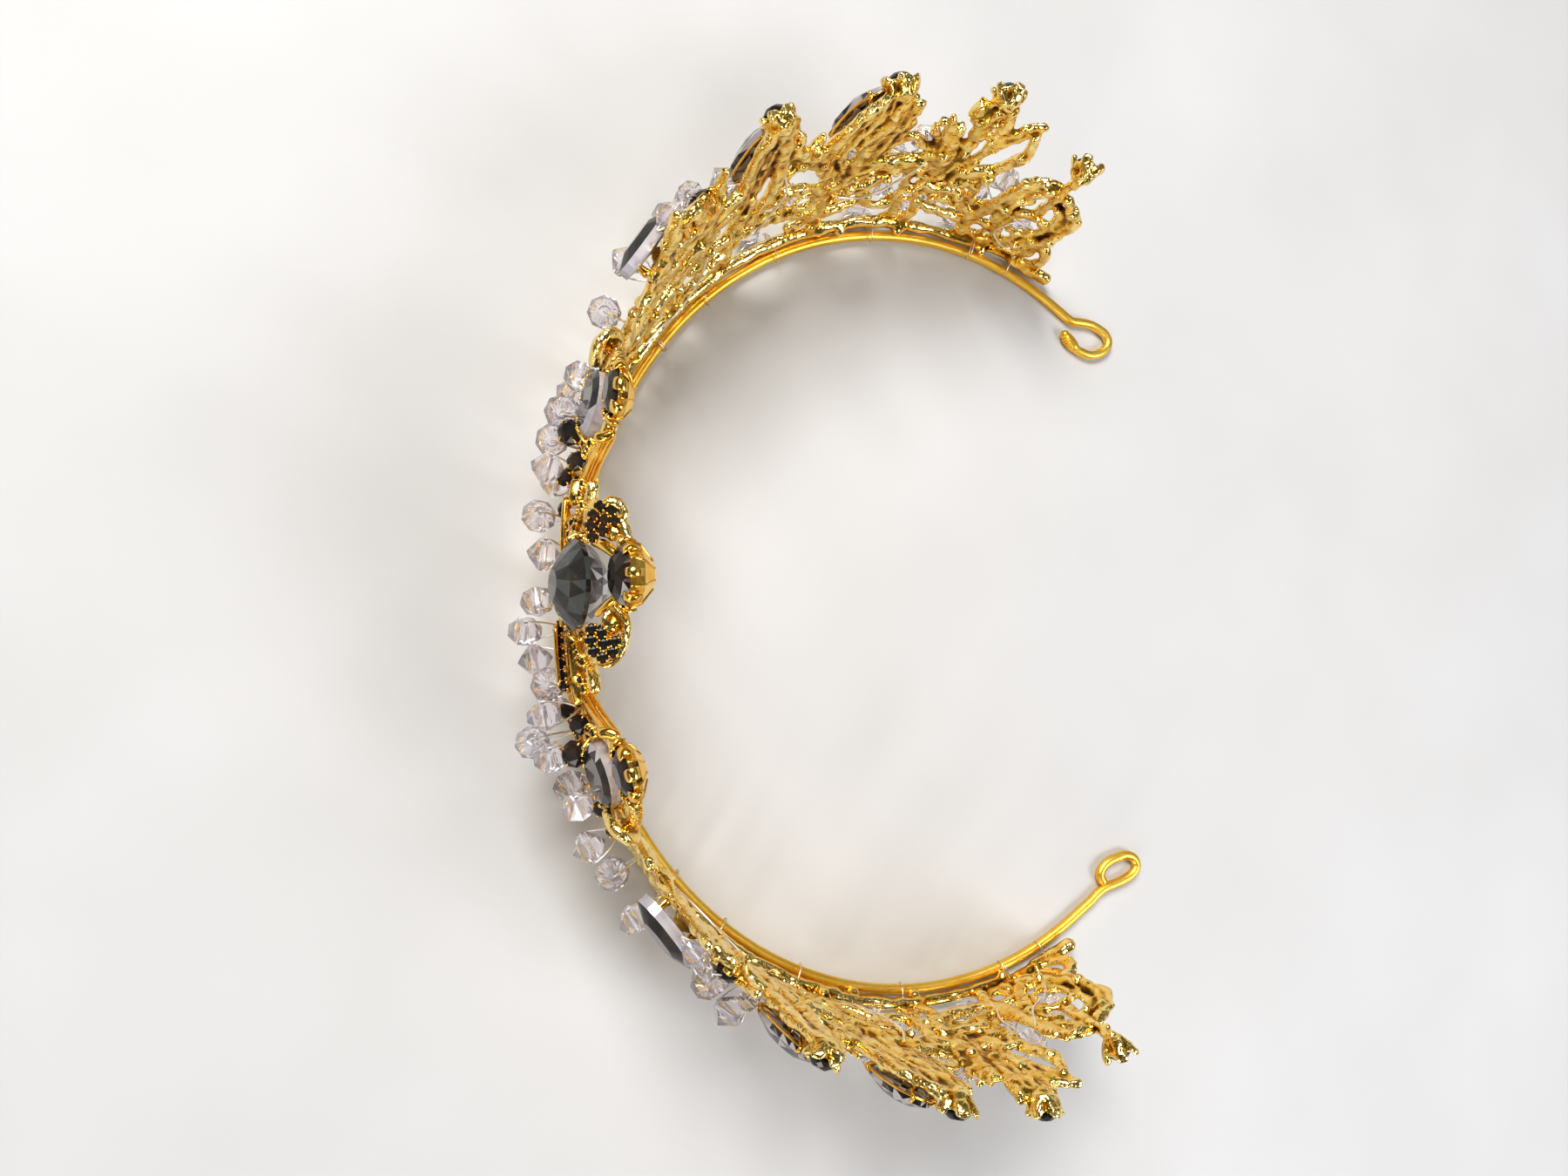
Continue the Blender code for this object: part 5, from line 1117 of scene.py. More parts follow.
def strands(heap, side, design, seed, uneven=0.2):
    """Poured strands: rounded, uneven in width and thickness; leaves lightly dished and ridged."""
    rnd = random.Random(seed)
    for i, (pts, a, b) in enumerate(design):
        top = max(a)
        n = 3 * (len(pts) - 1) + 1
        A = widths(a, n) * np.array([1 + rnd.uniform(-uneven, uneven) for _ in range(n)])
        B = np.array([b * (1 + rnd.uniform(-uneven, uneven * 0.8)) for _ in range(n)])
        if top > 2.0:
            heap.add(blade(side, pts, A, B, dish=0.12, ridges=4, relief=0.12, sides=26, phase=0.6 * i))
        else:
            heap.add(blade(side, pts, A, B, ridges=2 if top > 1.25 else 0, relief=0.17, sides=16, phase=i, twist=rnd.uniform(-24, 24)))


def wing(side, tag):
    h = Heap()
    strands(h, side, WING_CAST, 5 + side)
    for u, v, w, ru, rv, k in WING_RINGS:
        h.add(ringlet(side, u, v, w, ru, rv, k))
    for u, v, w, r in WING_LUMPS:
        h.add(ball(wall(side, u, v, w), r, n=7))
    for i, c in enumerate(WING_CUPS):
        bowl(h, side, *c, claws=(6, 5, 5, 4)[i], claw=(1.25, 1.30, 1.25, 1.25)[i], reach=(0.25, 0.3, 0.4, 0.7)[i], lean=(0.0, 0.05, 0.1, 0.3)[i],
             start=(0.2, 0.45, 0.1, 0.3)[i], ribs=5, back=1.15)
    rnd = random.Random(7)
    for i in range(70):                                  # grains and spurs left by the pour
        pts = WING_CAST[rnd.randrange(len(WING_CAST))][0]
        p = pts[rnd.randrange(len(pts))]
        h.add(ball(wall(side, p[0] + rnd.uniform(-1.1, 1.1), max(p[1] + rnd.uniform(-1.2, 1.2), 1.0), rnd.choice((-1.0, -0.7, 0.7))),
                   rnd.uniform(0.45, 0.8), n=5))
    cast("cast_wing_" + tag, h, 0.30, 11, replaces=("casting_wing_" + tag,))


def chaton(heap, stones, c, axes, r, depth=1.1, claws=4):
    """Small stone in its own four-claw setting."""
    across, up, out = axes
    heap.add(lathe(c, axes, [(0.35, -depth), (0.95, -depth * 0.5), (1.12, 0.0), (1.05, 0.25), (0.85, 0.15), (0.0, -0.2)], a=r, b=r, sides=16), 0)
    for j in range(claws):
        f = 2 * math.pi * (j + 0.5) / claws
        e = across * math.cos(f) + up * math.sin(f)
        heap.add(rod([c + e * r * 1.08 - out * 0.3, c + e * r * 1.12 + out * 0.30, c + e * r * 0.80 + out * 0.62], (0.24, 0.22, 0.16), 6, n=2), 0)
    stones.add(gem(c + out * 0.22, axes, "oval", r * 0.95, r * 0.95, r * 0.5, r * 0.7, 8, girdle=0.05), 0, False)


def pave(heap, stones, side, pts, r, gap, w, flip=1):
    """Row of small stones set close along a line."""
    rows = smooth([(flip * p[0], p[1]) for p in pts], 12)
    P = np.array([wall(side, q[0], q[1], w) for q in rows])
    d = np.concatenate([[0], np.cumsum(np.linalg.norm(np.diff(P, axis=0), axis=1))])
    n = max(1, int(d[-1] / (2 * r + gap)))
    for i in range(n + 1):
        t = d[-1] * i / n
        q = [np.interp(t, d, rows[:, k]) for k in (0, 1)]
        chaton(heap, stones, wall(side, q[0], q[1], w), frame_at(side, q[0], q[1]), r, 0.7, 3)


def slab(path, side, half, thick):
    """Flat strap with rounded edges that follows a path; side is the direction of its width."""
    P = [np.array(p, float) for p in path]
    s = side / np.linalg.norm(side)
    verts, faces, n = [], [], 10
    for i, p in enumerate(P):
        d = P[min(i + 1, len(P) - 1)] - P[max(i - 1, 0)]
        up = np.cross(s, d)
        up = up / np.linalg.norm(up)
        k = 0.8 if i in (0, len(P) - 1) else 1.0
        for j in range(n):
            f = 2 * math.pi * (j + 0.5) / n
            x, y = math.cos(f), math.sin(f)
            verts.append(p + s * half * k * math.copysign(abs(x) ** 0.35, x) + up * thick * k * math.copysign(abs(y) ** 0.55, y))
    for i in range(len(P) - 1):
        for j in range(n):
            a, q = i * n + j, i * n + (j + 1) % n
            faces.append((a, q, q + n, a + n))
    faces.append(tuple(reversed(range(n))))
    faces.append(tuple(range((len(P) - 1) * n, len(P) * n)))
    return verts, faces


def cut_cup(heap, side, u, v, w, r, depth, tip, tabs=8, tab=0.55):
    """Turned-up cup with eight flat sides, a raised back and short tabs folded over the stone."""
    c, axes = wall(side, u, v, w), frame_at(side, u, v, tip)
    across, up, out = axes
    heap.add(lathe(c, axes, [(0.0, -depth), (0.16, -0.93 * depth), (0.42, -0.80 * depth), (0.86, -0.34 * depth), (0.98, 0.0), (1.0, 0.20 * depth),
                             (0.93, 0.20 * depth), (0.84, 0.05 * depth), (0.0, -0.12 * depth)], a=r, b=r, sides=8, phase=0.5), 0, False)
    for j in range(tabs):
        f = 2 * math.pi * j / tabs
        e = across * math.cos(f) + up * math.sin(f)
        t = across * -math.sin(f) + up * math.cos(f)
        low, top = c + e * r * 0.93 - out * 0.25 * depth, c + e * r * 0.90 + out * (0.2 * depth + 0.35)
        heap.add(slab([low, c + e * r * 1.0 + out * 0.12 * depth, top, top - e * r * 0.14 + out * 0.12], t, tab * 1.5, tab * 0.62))
        f += math.pi / tabs                              # seam between two flats
        e = across * math.cos(f) + up * math.sin(f)
        heap.add(rod([c + e * r * 0.42 - out * 0.80 * depth, c + e * r * 0.86 - out * 0.34 * depth, c + e * r * 0.98, c + e * r + out * 0.18 * depth],
                     0.16, 6))


def upright(side, u, v, w, lean=14.0):
    """Place and axes of a small stone that faces up out of the wall's top edge."""
    q = frame_at(side, u, v, 90.0 - lean)
    return wall(side, u, v, w), q


def seated(heap, stones, side, u, v, w, r, lean=14.0, mat=0):
    """Small square-cut stone in a four-claw seat, facing up."""
    c, (across, up, out) = upright(side, u, v, w, lean)
    heap.add(lathe(c, (across, up, out), [(0.3, -1.2), (0.85, -0.8), (0.98, -0.2), (0.98, 0.0), (0.85, 0.0), (0.0, -0.2)], a=r, b=r, sides=8), 0)
    for j in range(4):
        f = math.pi * (j + 0.5) / 2
        e = across * math.cos(f) + up * math.sin(f)
        heap.add(rod([c + e * r * 1.10 - out * 0.5, c + e * r * 1.20 + out * 0.25, c + e * r * 0.95 + out * (0.3 + 0.3 * r)], (0.22, 0.22, 0.16), 7, n=2), 0)
    stones.add(gem(c + out * 0.2, (across, up, out), "oval", r * 1.22, r * 1.22, r * 0.55, r * 0.7, 4, table=0.55, girdle=0.08 * r), mat, False)


def flank(side, tag):
    h, trim, stones = Heap(), Heap(), Heap()
    strands(h, side, FLANK, 3, 0.1)
    for pts, a, b in (([(30.4, 33.6, 2.4), (32.2, 36.0, 2.6), (33.9, 36.2, 1.6), (34.6, 33.6, 0.4), (33.8, 29.0, 0.1)], (0.9, 1.4, 1.3, 0.9), 1.0),
                      ([(31.4, 31.0, 1.4), (33.0, 33.4, 1.0), (32.6, 36.6, 0.2)], (0.9, 1.2, 0.8), 0.9)):
        h.add(blade(side, pts, a, b, sides=16))
    cast("cast_flank_" + tag, h, 0.27, 23, rough=0.35, replaces=("casting_flank_" + tag,))
    cut_cup(trim, side, 25.3, 43.0, -0.9, 4.6, 2.8, 4, tab=0.62)
    c, axes = wall(side, 25.7, 31.6, 1.1), frame_at(side, 25.7, 31.6, 4)
    tray(trim, c, axes, "oval", 4.9, 6.4, r=0.34, low=-1.0, angles=(200, 225, 250, 290, 315, 340), reach=2.6, prong=0.42)
    for f in (62, 118):                                  # short lugs over the top of the oval, into the cup above
        x, y = math.cos(math.radians(f)), math.sin(math.radians(f))
        trim.add(rod([wall(side, 25.9 + 4.6 * x, 31.6 + 6.1 * y, -0.2), wall(side, 25.7 + 4.4 * x, 32.4 + 6.6 * y, -0.9), wall(side, 25.5 + 3.9 * x, 34.0 + 6.8 * y, -1.8)],
                     (0.55, 0.75, 0.65), 10, n=3))
    trim.add(rod([wall(side, 19.7, 39.2, 1.0), wall(side, 19.9, 39.8, 0.0), wall(side, 20.6, 40.4, -1.0)], (0.75, 0.85, 0.7), 12, n=3))
    for k in (0.0, 1.0):                                 # twin smooth bars that climb from the front to the cup
        trim.add(rod([wall(side, 13.8, 25.6, 1.0 - k), wall(side, 15.6, 28.6, 0.9 - k), wall(side, 17.8, 33.6, 0.6 - k), wall(side, 20.4, 39.6, -0.1 - k)],
                     (0.55, 0.62, 0.55), 12, n=5))
    trim.add(blade(side, [(16.6, 24.6, -1.1), (19.6, 25.0, -0.7), (23.4, 24.8, -0.2)], 1.4, 0.55, sides=20))
    trim.add(slab([wall(side, u, v, 1.15) for u, v in ((11.5, 25.6), (12.3, 26.0), (13.8, 26.1), (15.4, 26.0), (16.2, 25.6))], frame_at(side, 13.8, 26, 0)[2], 1.55, 0.9))
    for pts in ([(20.4, 25.4), (19.6, 28.6), (20.0, 33.4)], [(32.6, 24.6), (33.2, 27.4)],
                [(22.4, 6.0), (21.8, 10.0), (24.0, 12.6)], [(31.0, 6.0), (31.6, 10.0), (29.4, 12.6)], [(26.5, 4.0), (26.5, 9.0)],
                [(23.2, 15.0), (22.4, 19.0), (23.4, 22.0)], [(30.0, 15.0), (30.8, 19.0), (29.8, 22.0)], [(26.5, 14.0), (26.5, 20.6)]):
        pave(trim, stones, side, pts, 0.72, 0.25, 1.25)
    for u, v, w, r in ((22.5, 24.4, 3.9, 1.75), (18.8, 24.6, 2.2, 1.35), (20.4, 26.4, 1.0, 0.8), (31.0, 24.0, 2.6, 1.1), (16.6, 21.6, 3.3, 1.1), (33.9, 27.2, 2.4, 1.0)):
        seated(trim, stones, side, u, v, w, r, 30)
    put("settings_flank_" + tag, trim.mesh("settings_flank_" + tag, [POLISH]))
    put("chatons_flank_" + tag, stones.mesh("chatons_flank_" + tag, [SMOKY]))


def centre():
    h, trim, stones = Heap(), Heap(), Heap()
    rails = [([(-p[0], p[1]) for p in reversed(pts[1:])] + pts, a, b) for pts, a, b in CENTRE_RAILS]
    strands(h, 1, rails, 2, 0.08)
    lean = [q for q in CENTRE if q[0][0] != (9.4, 37.6, 0.2)] + [([(9.2, 37.6, 0.4), (9.2, 41.0, 0.0), (7.6, 43.4, -1.2), (5.6, 45.4, -2.2)], (1.3, 1.9, 1.6, 1.0), 0.9)]
    strands(h, 1, lean, 4, 0.1)
    strands(h, 1, [([(-p[0], *p[1:]) for p in pts], a, b) for pts, a, b in lean], 6, 0.1)
    # curled leaves beside the crest: hollow, with a rolled edge, two-lobed on one side
    for pts, r in (([(-7.4, 44.9, 1.3), (-8.6, 45.5, 0.2), (-10.0, 45.7, -1.0), (-9.9, 45.9, -2.3), (-8.8, 46.0, -3.2), (-7.6, 45.7, -3.0)], (0.45, 0.6, 0.75, 0.8, 0.7, 0.5)),
                   ([(-7.7, 45.8, -2.7), (-6.7, 46.2, -3.4), (-5.6, 46.3, -3.7), (-4.5, 46.8, -4.1)], (0.5, 0.75, 0.75, 0.6)),
                   ([(3.6, 45.6, -1.8), (4.6, 46.1, -2.9), (6.4, 46.3, -3.5), (8.6, 46.1, -3.0), (10.4, 45.7, -2.0), (11.1, 45.2, -0.7), (10.9, 44.4, 0.6)],
                    (0.6, 0.75, 0.65, 0.7, 0.6, 0.6, 0.4))):
        h.add(rod([wall(1, *p) for p in pts], r, 12, n=5))
    h.add(ball(wall(1, 5.6, 45.2, -1.9), 1.9, ((0.0, 0.3, 1.0), 0.35), n=8))
    cast("cast_front", h, 0.27, 31, rough=0.35, limit=150000, replaces=("casting_centre",))
    cut_cup(trim, 1, 0.0, 50.2, -3.1, 4.9, 3.9, 4, tab=0.42)
    turns = [math.radians(196 + 14.8 * k) for k in range(11)]
    trim.add(rod([wall(1, 7.2 * math.cos(f), 35.8 + 9.0 * math.sin(f), 0.9) for f in turns], 0.8, 12, n=3))
    for g in (200, 228, 256, 284, 312, 340):
        f = math.radians(g)
        trim.add(rod([wall(1, 7.0 * math.cos(f), 35.8 + 8.8 * math.sin(f), 0.2), wall(1, 7.5 * math.cos(f), 35.8 + 9.3 * math.sin(f), 1.6),
                      wall(1, 6.7 * math.cos(f), 35.8 + 8.5 * math.sin(f), 2.8)], (0.6, 0.6, 0.4), 10, n=3))
    trim.add(rod([wall(1, -5.0, 42.6, 0.2), wall(1, -4.4, 44.8, -0.8), wall(1, -3.4, 46.2, -1.9), wall(1, -2.2, 47.0, -3.2)], (0.6, 0.8, 0.75, 0.6), 12, n=4))
    trim.add(rod([wall(1, 4.4, 43.2, 0.0), wall(1, 3.2, 45.4, -1.3), wall(1, 2.4, 46.6, -2.6), wall(1, 1.8, 47.2, -3.4)], (0.5, 0.6, 0.6, 0.5), 12, n=4))
    for f, w, half in ((-1, -0.35, 0.5), (-1, 2.7, 0.45), (1, 3.9, 0.3), (1, 0.9, 1.45)):       # smooth channel walls along the top of the front casting
        trim.add(slab([wall(1, f * u, 26.0, w + 0.1 * k) for k, u in enumerate((4.8, 5.6, 9.0, 12.2, 13.0))], frame_at(1, f * 9.0, 26, 0)[2], half, 0.8))
    for f in (-1, 1):                                    # near-black balls in the curled leaves: painted shade in their hollows
        stones.add(ball(wall(1, f * 7.2, 43.8, -1.2), 1.8, ((0.0, 0.2, 1.0), 0.3), n=7), 0, False)
    for k in range(6):
        seated(trim, stones, 1, -13.0 + 1.75 * k, 26.5, 1.35 - 0.05 * k, 0.78, 6, mat=k % 2)
        seated(trim, stones, 1, 5.4 + 1.55 * k, 25.2, 3.4, 0.70, 24)
    for u, w in ((-9.2, 0.1), (-8.0, 0.9), (-6.6, 1.2), (-5.2, 0.9), (-8.9, -1.5), (-7.5, -0.6), (-6.1, -0.4), (-7.6, -2.0),
                 (10.1, 0.0), (9.2, 1.1), (7.8, 1.4), (6.4, 1.2), (9.6, -1.4), (8.4, -0.3), (7.0, 0.0), (8.3, -1.8)):
        seated(trim, stones, 1, u, 45.9, w, 0.70, 10)
    for f in (-1, 1):
        for pts in ([(4.0, 8.0), (6.4, 11.6), (9.0, 10.4)], [(14.2, 8.0), (13.6, 12.0), (15.2, 16.6)], [(3.0, 12.0), (4.6, 16.4), (8.6, 19.4)],
                    [(13.0, 26.4), (12.6, 30.0), (14.0, 32.4)], [(6.4, 25.0), (9.6, 31.0), (10.4, 36.0)]):
            pave(trim, stones, 1, pts, 0.74, 0.25, 1.25, f)
        for u, v, r in ((17.4, 20.0, 1.55), (12.2, 20.8, 1.3)):
            q = frame_at(1, f * u, v, 12)
            chaton(trim, stones, wall(1, f * u, v, 2.6), q, r, 1.6)
    put("settings_front", trim.mesh("settings_front", [POLISH]))
    put("chatons_front", stones.mesh("chatons_front", [SMOKY, LILAC]))


wing(-1, "left")
wing(1, "right")
flank(-1, "left")
flank(1, "right")
centre()

# ------------------------------------------------------------------ stones
for name, (sides, u, v, w, kind, a, b, crown, pavilion, tip, spin, steps) in STONES.items():
    for side in sides:
        tag = "" if len(sides) == 1 else ("_left" if side < 0 else "_right")
        c, axes = wall(side, u, v, w), frame_at(side, u, v, tip, 0.0, spin)
        if name == "flank_round":                        # sunk in its cup
            c = c - axes[2] * 0.7
        if name == "flank_oval":                         # tablet cut: flat dark front, deep pale sides
            crown = 1.7
        h = Heap()
        pale = "navette" in name or name == "flank_oval"
        flat = {"centre": 0.34, "flank_oval": 0.80}.get(name, 0.52)
        thick = {"flank_oval": 0.95, "centre": 0.35, "shoulder_navette": 0.8}.get(name, 0.45 if pale else 0.13)
        cut = thick + 0.1 if name in ("flank_oval", "shoulder_navette") else 0.62 * crown
        made = gem(c, axes, kind, a, b, crown, pavilion, steps, table=flat, girdle=thick, fine=name == "centre" or "navette" in name)
        # facets behind the cut get pale lilac, brown glint or dark colours: painted light on the back facets that face
        # up, and painted glints
        tone_by_facet(h, made, c, axes[2], cut if pale else {"centre": 0.1, "crest": 1.1}.get(name, -99.0),
                 mixed=(1,) if name in ("flank_oval", "shoulder_navette") else (1, 1, 1, 1, 0, 2) if pale else (0, 0, 0, 1, 2, 2))
        if name == "centre":                             # a few crown facets get a paler grey: painted highlights on them
            pick = random.Random(5)
            h.m = [3 if m == 0 and pick.random() < 0.34 else m for m in h.m]
        put("gem_" + name + tag, h.mesh("gem_" + name + tag, [SMOKY, LILAC, SPARK, LIT_FACET_PAINT]), ("stone_" + name + tag,))
        if "navette" in name:
            s = Heap()
            if name != "shoulder_navette":
                tray(s, c, axes, kind, a, b, r=0.22, low=-0.6, angles=(50, 130, 230, 310), reach=1.0, prong=0.3)
            else:                                        # small round stone in its own cup beside it, and a few poured curls
                cut_cup(s, side, 57.8, 33.2, 0.4, 3.1, 2.8, 3, tabs=7, tab=0.55)
                e = Heap()
                q = frame_at(side, 57.8, 33.2, 3)
                e.add(gem(wall(side, 57.8, 33.2, 1.0), q, "oval", 2.6, 2.6, 1.3, 1.2, 10), 0, False)
                put("gem_shoulder_round" + tag, e.mesh("gem_shoulder_round" + tag, [SMOKY]))
                for u1, v1, w1, r1 in ((52.4, 32.0, 0.6, 0.8), (54.2, 33.4, 0.2, 1.0), (55.6, 34.2, -0.4, 0.9), (53.0, 34.6, -0.2, 0.75), (55.0, 31.0, 0.9, 0.7)):
                    s.add(rod([wall(side, u1 + 0.6, v1 - 3.0, w1 - 0.6), wall(side, u1 + 0.2, v1 - 0.8, w1), wall(side, u1, v1, w1 + 0.3),
                               wall(side, u1 - 0.7, v1 - 0.3, w1 + 1.0)], (0.5, 0.75 * r1, r1, 0.5 * r1), 10, n=3))
            for k in (-0.55, 0.0, 0.5):
                p = c + axes[1] * b * k
                s.add(rod([p - axes[2] * 2.6, p - axes[2] * 1.2, c + axes[1] * b * k * 0.9 - axes[2] * 0.5], (0.8, 0.6, 0.5), 8, n=3))
            put("setting_" + name + tag, s.mesh("setting_" + name + tag, [POLISH]))

# ------------------------------------------------------------------ beads on their stems
for i, (side, u, height, off) in enumerate(BEADS):
    x, y, nx, ny = ring(side * u)
    c = np.array([x + nx * off, y + ny * off, height])
    turn = 2.399 * i
    out = unit((nx, ny, 0.25))
    up = unit((-ny * math.cos(turn), nx * math.cos(turn), math.sin(turn) + 1.2))
    h = Heap()
    h.add(bicone(c, up, BEAD_R, BEAD_H, 8, turn=0.37 * i), 0, False)
    put("crystal_%02d" % (i + 1), h.mesh("crystal_%02d" % (i + 1), [CLEAR]), ("bead_%02d" % (i + 1),))
    foot = wall(side, u, height - WALL_Z, 1.2)
    w = Heap()
    across = unit(np.cross(up, out))
    e = up * (BEAD_H + 0.25)
    path = [foot + across * 0.15, foot * 0.55 + (c + e) * 0.45 + up * 0.5, c + e, c + up * BEAD_H * 0.8, c, c - up * BEAD_H * 0.8,
            c - e, foot * 0.55 + (c - e) * 0.45 - up * 0.5, foot - across * 0.15]
    w.add(rod(path, 0.15, 7, n=4))
    put("stem_%02d" % (i + 1), w.mesh("stem_%02d" % (i + 1), [SILVER]))

# ------------------------------------------------------------------ crystals behind the openings of the wings
WING_BEADS = [   # u, v, w, radius, half length, spin of the axis in the wall
    (73.8, 3.4, 2.5, 2.6, 2.5, 60), (94.4, 3.6, 2.5, 2.8, 2.8, 80), (112.2, 4.0, 2.5, 2.6, 2.5, 70), (126.0, 3.4, 2.1, 2.4, 2.4, 100),
    (96.2, 10.4, 2.6, 2.5, 2.8, 10), (106.6, 8.4, 2.7, 2.2, 2.2, 40), (114.6, 20.4, 2.1, 2.7, 2.8, 12), (122.0, 10.4, 2.3, 2.6, 2.5, 85),
    (98.2, 26.4, 2.4, 2.6, 2.7, 20), (94.4, 22.8, 2.6, 2.4, 2.5, 60), (86.8, 22.4, 2.4, 2.3, 2.5, 20), (60.6, 9.6, 2.5, 2.2, 2.2, 45),
    (112.6, 14.2, 2.5, 2.3, 2.4, 0), (79.4, 12.4, 2.6, 2.0, 2.1, 30), (102.6, 4.0, 2.6, 2.3, 2.3, 20), (57.8, 32.4, 3.0, 2.2, 2.4, 30), (52.2, 36.0, 2.4, 2.2, 2.4, 80), (64.0, 29.0, 2.4, 1.8, 1.9, 50),
]
for side, tag in ((-1, "left"), (1, "right")):
    h, w = Heap(), Heap()
    for k, (u, v, off, r, hl, spin) in enumerate(WING_BEADS):
        q = frame_at(side, u, v, 0, 0, spin)
        c = wall(side, u, v, off)
        h.add(bicone(c, q[1], r, hl, 8, turn=0.41 * k), 0, False)
        a, b = c + q[1] * (hl + 0.2), c - q[1] * (hl + 0.2)
        w.add(rod([wall(side, u + 2.4, v + 1.0, 0.4), a + q[1] * 0.5 - q[2] * 0.4, a, c, b, b - q[1] * 0.5 - q[2] * 0.4,
                   wall(side, u - 2.4, v - 1.0, 0.4)], 0.14, 6, n=4))
    put("wing_crystals_" + tag, h.mesh("wing_crystals_" + tag, [CLEAR]))
    put("wing_crystal_wires_" + tag, w.mesh("wing_crystal_wires_" + tag, [SILVER]))

# ------------------------------------------------------------------ binding wires that hold the castings to the band
def binding(side, u, turns, r=0.13, rise=3.2, step=0.42):
    """A few turns of thin wire round the band and the lowest rail of a casting, drawn tight, with a cut end."""
    pts = []
    n = 26
    for i in range(int(turns * n) + 1):
        f = 2 * math.pi * i / n
        s = u + step * i / n
        x, y, nx, ny = ring(side * s)
        c, q = math.cos(f), math.sin(f)
        off = 1.35 + 2.75 * c * abs(c) ** 0.15
        z = 1.75 + (1.55 if q > 0 else 1.45) * q * (0.9 + 0.1 * abs(q)) + (rise - 3.2) * max(q, 0)
        pts.append((x + nx * off, y + ny * off, max(z, r + 0.05)))
    return rod(pts, r, 7)


w = Heap()
for side in (-1, 1):
    for u, turns in ((20.0, 1.3), (36.0, 1.4), (49.5, 2.2), (62.0, 1.3), (78.5, 1.2), (98.5, 1.3), (119.0, 1.4), (127.5, 1.2)):
        w.add(binding(side, u + 0.7 * side, turns))
put("binding_wires", w.mesh("binding_wires", [COPPER]))

w = Heap()
LONG_WIRES = [   # side, points on the wall (u, v, w), radius
    (-1, [(72.6, 29.0, -1.4), (73.4, 25.4, -2.0), (73.0, 21.0, -2.0), (71.8, 17.0, -1.8), (70.6, 12.6, -1.6)], 0.20),
    (-1, [(86.0, 15.2, -1.4), (89.4, 15.0, -2.0), (92.6, 16.6, -2.2), (95.4, 20.4, -2.0), (98.0, 25.0, -1.5)], 0.22),
    (-1, [(60.4, 15.0, -1.2), (58.0, 10.6, -2.2), (53.4, 7.2, -2.4), (48.6, 7.4, -1.9), (45.0, 6.6, -1.4)], 0.18),
    (-1, [(120.0, 14.0, -1.3), (118.6, 10.0, -2.0), (121.6, 6.8, -1.8), (124.0, 5.8, -1.2)], 0.16),
    (1, [(88.6, 8.0, -1.3), (90.2, 14.6, -2.0), (91.2, 20.6, -2.0), (89.4, 25.6, -1.5)], 0.19),
    (1, [(111.0, 9.0, -1.4), (112.4, 13.0, -2.0), (111.0, 17.6, -1.8), (111.8, 22.0, -1.2)], 0.17),
    (1, [(50.0, 6.0, -1.4), (55.0, 10.4, -2.0), (60.0, 12.6, -1.9), (66.0, 12.0, -1.4)], 0.18),
    (1, [(115.0, 22.0, -1.5), (117.0, 18.0, -2.2), (121.0, 15.0, -2.0), (124.4, 9.0, -1.4)], 0.17),
]
for side, pts, r in LONG_WIRES:
    w.add(rod([wall(side, *p) for p in pts], r, 7, n=8))
put("long_wires", w.mesh("long_wires", [SILVER]))

# ------------------------------------------------------------------ floor, light, camera
bpy.ops.mesh.primitive_plane_add(size=6.0, location=(0, 0, 0))
floor = bpy.context.object
floor.name = "floor"
s = Shader("floor_paper", Roughness=0.62)
s.set("Base Color", s.mix(s.span(s.noise(0.02, 2.0), 0.0, 1.0, 0.3, 0.7), (0.58, 0.575, 0.565), (0.62, 0.615, 0.61)))
floor.data.materials.append(s.mat)


def lamp(name, place, aim, size, power, colour=(1, 1, 1), shape="RECTANGLE", size_y=None):
    d = bpy.data.lights.new(name, "AREA")
    d.shape, d.size, d.size_y = shape, size, size_y or size
    d.energy, d.color = power, colour
    o = bpy.data.objects.new(name, d)
    o.location = place
    o.rotation_euler = (Vector(aim) - Vector(place)).to_track_quat("-Z", "Y").to_euler()
    bpy.context.scene.collection.objects.link(o)


lamp("window", (-0.42, -0.22, 0.62), (0, 0, 0.02), 0.34, 5.5, (1.0, 0.985, 0.96))
lamp("sky", (0.35, 0.50, 0.55), (0, 0, 0.02), 0.38, 3.3, (0.93, 0.95, 1.0))
lamp("strip", (0.60, -0.35, 0.30), (0, 0, 0.02), 0.10, 1.6, (1.0, 0.96, 0.90), size_y=0.6)

world = bpy.data.worlds.new("studio")
bpy.context.scene.world = world
world.use_nodes = True
nt = world.node_tree
bg = nt.nodes["Background"]
tc = nt.nodes.new("ShaderNodeTexCoord")
sep = nt.nodes.new("ShaderNodeSeparateXYZ")
rampw = nt.nodes.new("ShaderNodeValToRGB")
nt.links.new(tc.outputs["Generated"], sep.inputs[0])
nt.links.new(sep.outputs["Z"], rampw.inputs["Fac"])
e = rampw.color_ramp.elements
e[0].position, e[0].color = 0.0, (0.10, 0.10, 0.10, 1)
e[1].position, e[1].color = 1.0, (0.10, 0.10, 0.11, 1)
for at, c in ((0.48, (0.12, 0.12, 0.12, 1)), (0.58, (0.55, 0.55, 0.58, 1)), (0.70, (0.22, 0.22, 0.24, 1)), (0.85, (0.09, 0.09, 0.10, 1))):
    q = e.new(at)
    q.color = c
panels = nt.nodes.new("ShaderNodeTexNoise")
panels.inputs["Scale"].default_value = 3.2
panels.inputs["Detail"].default_value = 1.0
nt.links.new(tc.outputs["Generated"], panels.inputs["Vector"])
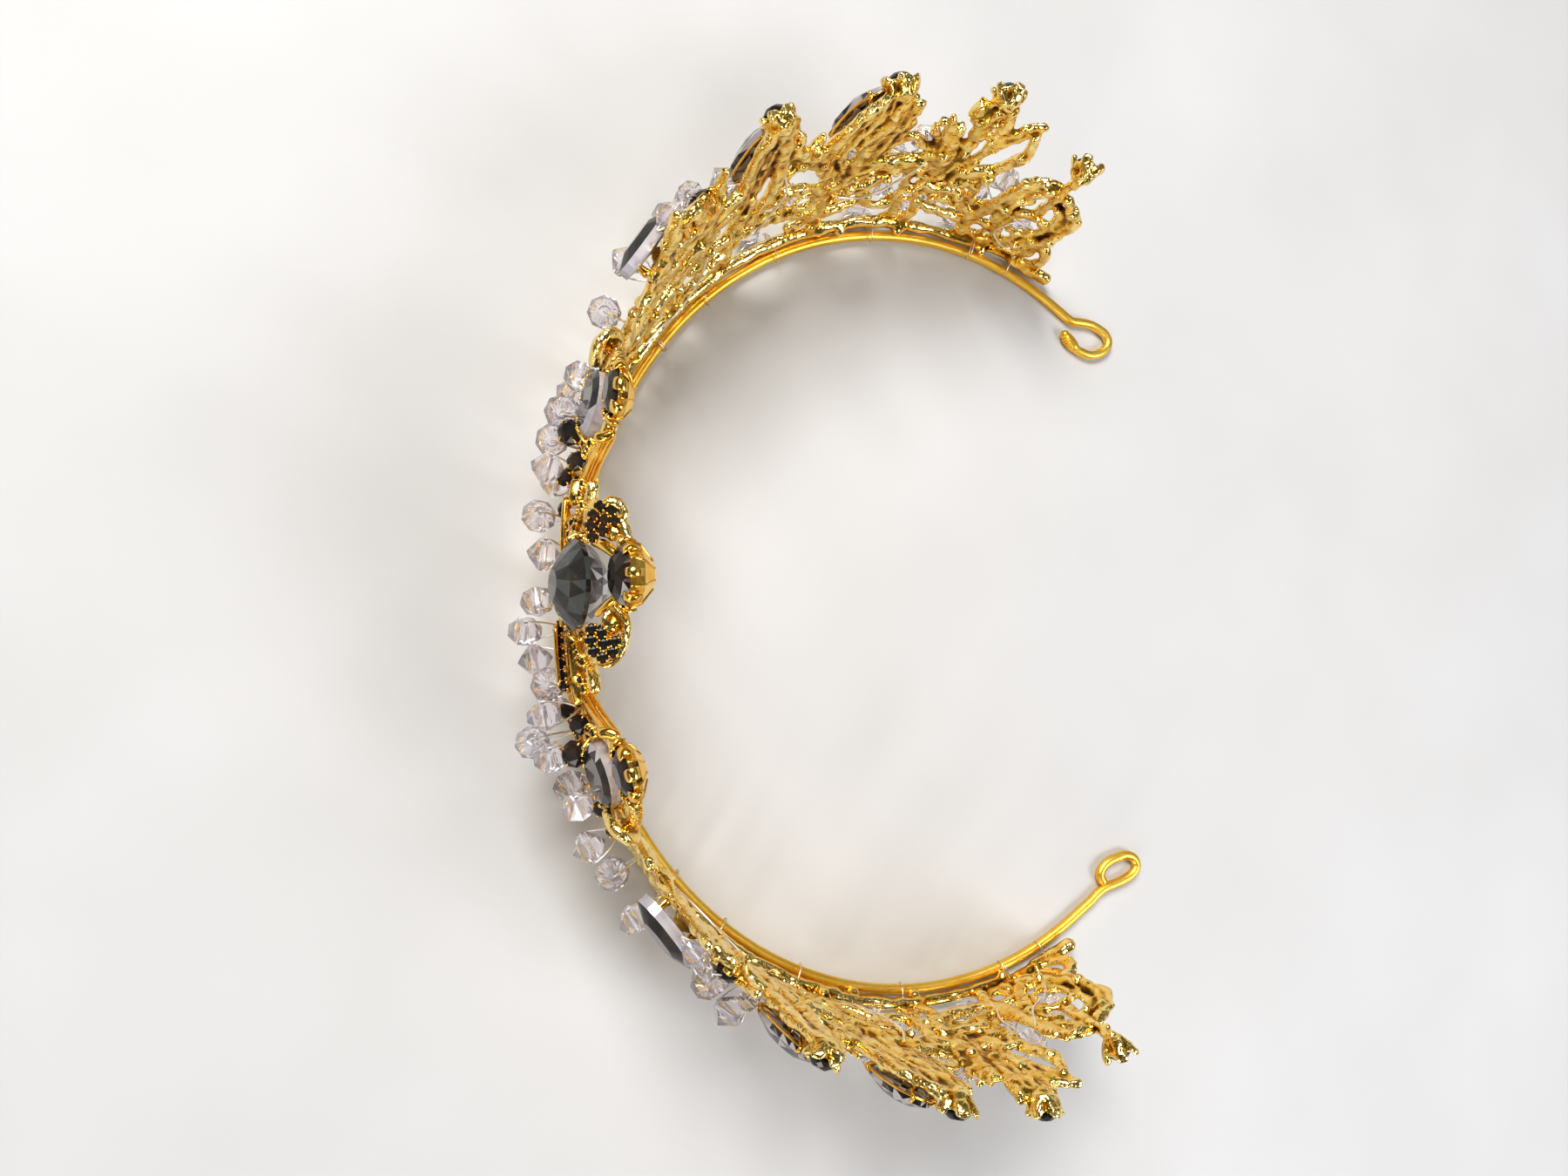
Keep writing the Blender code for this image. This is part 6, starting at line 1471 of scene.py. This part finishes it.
contrast = nt.nodes.new("ShaderNodeMapRange")
for k, v in (("From Min", 0.42), ("From Max", 0.60), ("To Min", 0.06), ("To Max", 3.0)):
    contrast.inputs[k].default_value = v
nt.links.new(panels.outputs["Fac"], contrast.inputs["Value"])
both = nt.nodes.new("ShaderNodeVectorMath")
both.operation = "SCALE"
nt.links.new(rampw.outputs["Color"], both.inputs[0])
nt.links.new(contrast.outputs["Result"], both.inputs["Scale"])
low = nt.nodes.new("ShaderNodeMapRange")                 # plain grey just above the horizon
for k, v in (("From Min", 0.05), ("From Max", 0.16)):
    low.inputs[k].default_value = v
nt.links.new(sep.outputs["Z"], low.inputs["Value"])
join = nt.nodes.new("ShaderNodeMix")
join.data_type = "RGBA"
join.inputs[6].default_value = (0.42, 0.42, 0.41, 1)
nt.links.new(low.outputs["Result"], join.inputs[0])
nt.links.new(both.outputs["Vector"], join.inputs[7])
nt.links.new(join.outputs[2], bg.inputs["Color"])
bg.inputs["Strength"].default_value = 0.6


def turn(axis, a):
    return Matrix.Rotation(a, 3, Vector(axis))


def camera():
    """The photograph's viewpoint: above the front, looking down and a little towards the open end."""
    th, pan, roll = math.radians(17.0), math.radians(4.75), math.radians(1.35)
    right = Vector((0, math.cos(th), math.sin(th)))
    look = Vector((0, math.sin(th), -math.cos(th)))
    up = Vector((-1.0, 0, 0))
    p = turn(right, pan)
    look, up = p @ look, p @ up
    r = turn(look, roll)
    right, up = r @ right, r @ up
    d = bpy.data.cameras.new("camera")
    d.sensor_width, d.sensor_fit, d.lens = 36.0, "HORIZONTAL", 27.04
    d.clip_start, d.clip_end = 0.01, 20.0
    o = bpy.data.objects.new("camera", d)
    o.matrix_world = Matrix.Translation(Vector((15.0 + SHIFT[0], -62.52 + SHIFT[1], 204.5)) * MM) @ \
        Matrix((right, up, -look)).transposed().to_4x4()
    bpy.context.scene.collection.objects.link(o)
    bpy.context.scene.camera = o


camera()
bpy.context.scene.view_settings.view_transform = "Standard"
bpy.context.scene.view_settings.look = "Medium High Contrast"
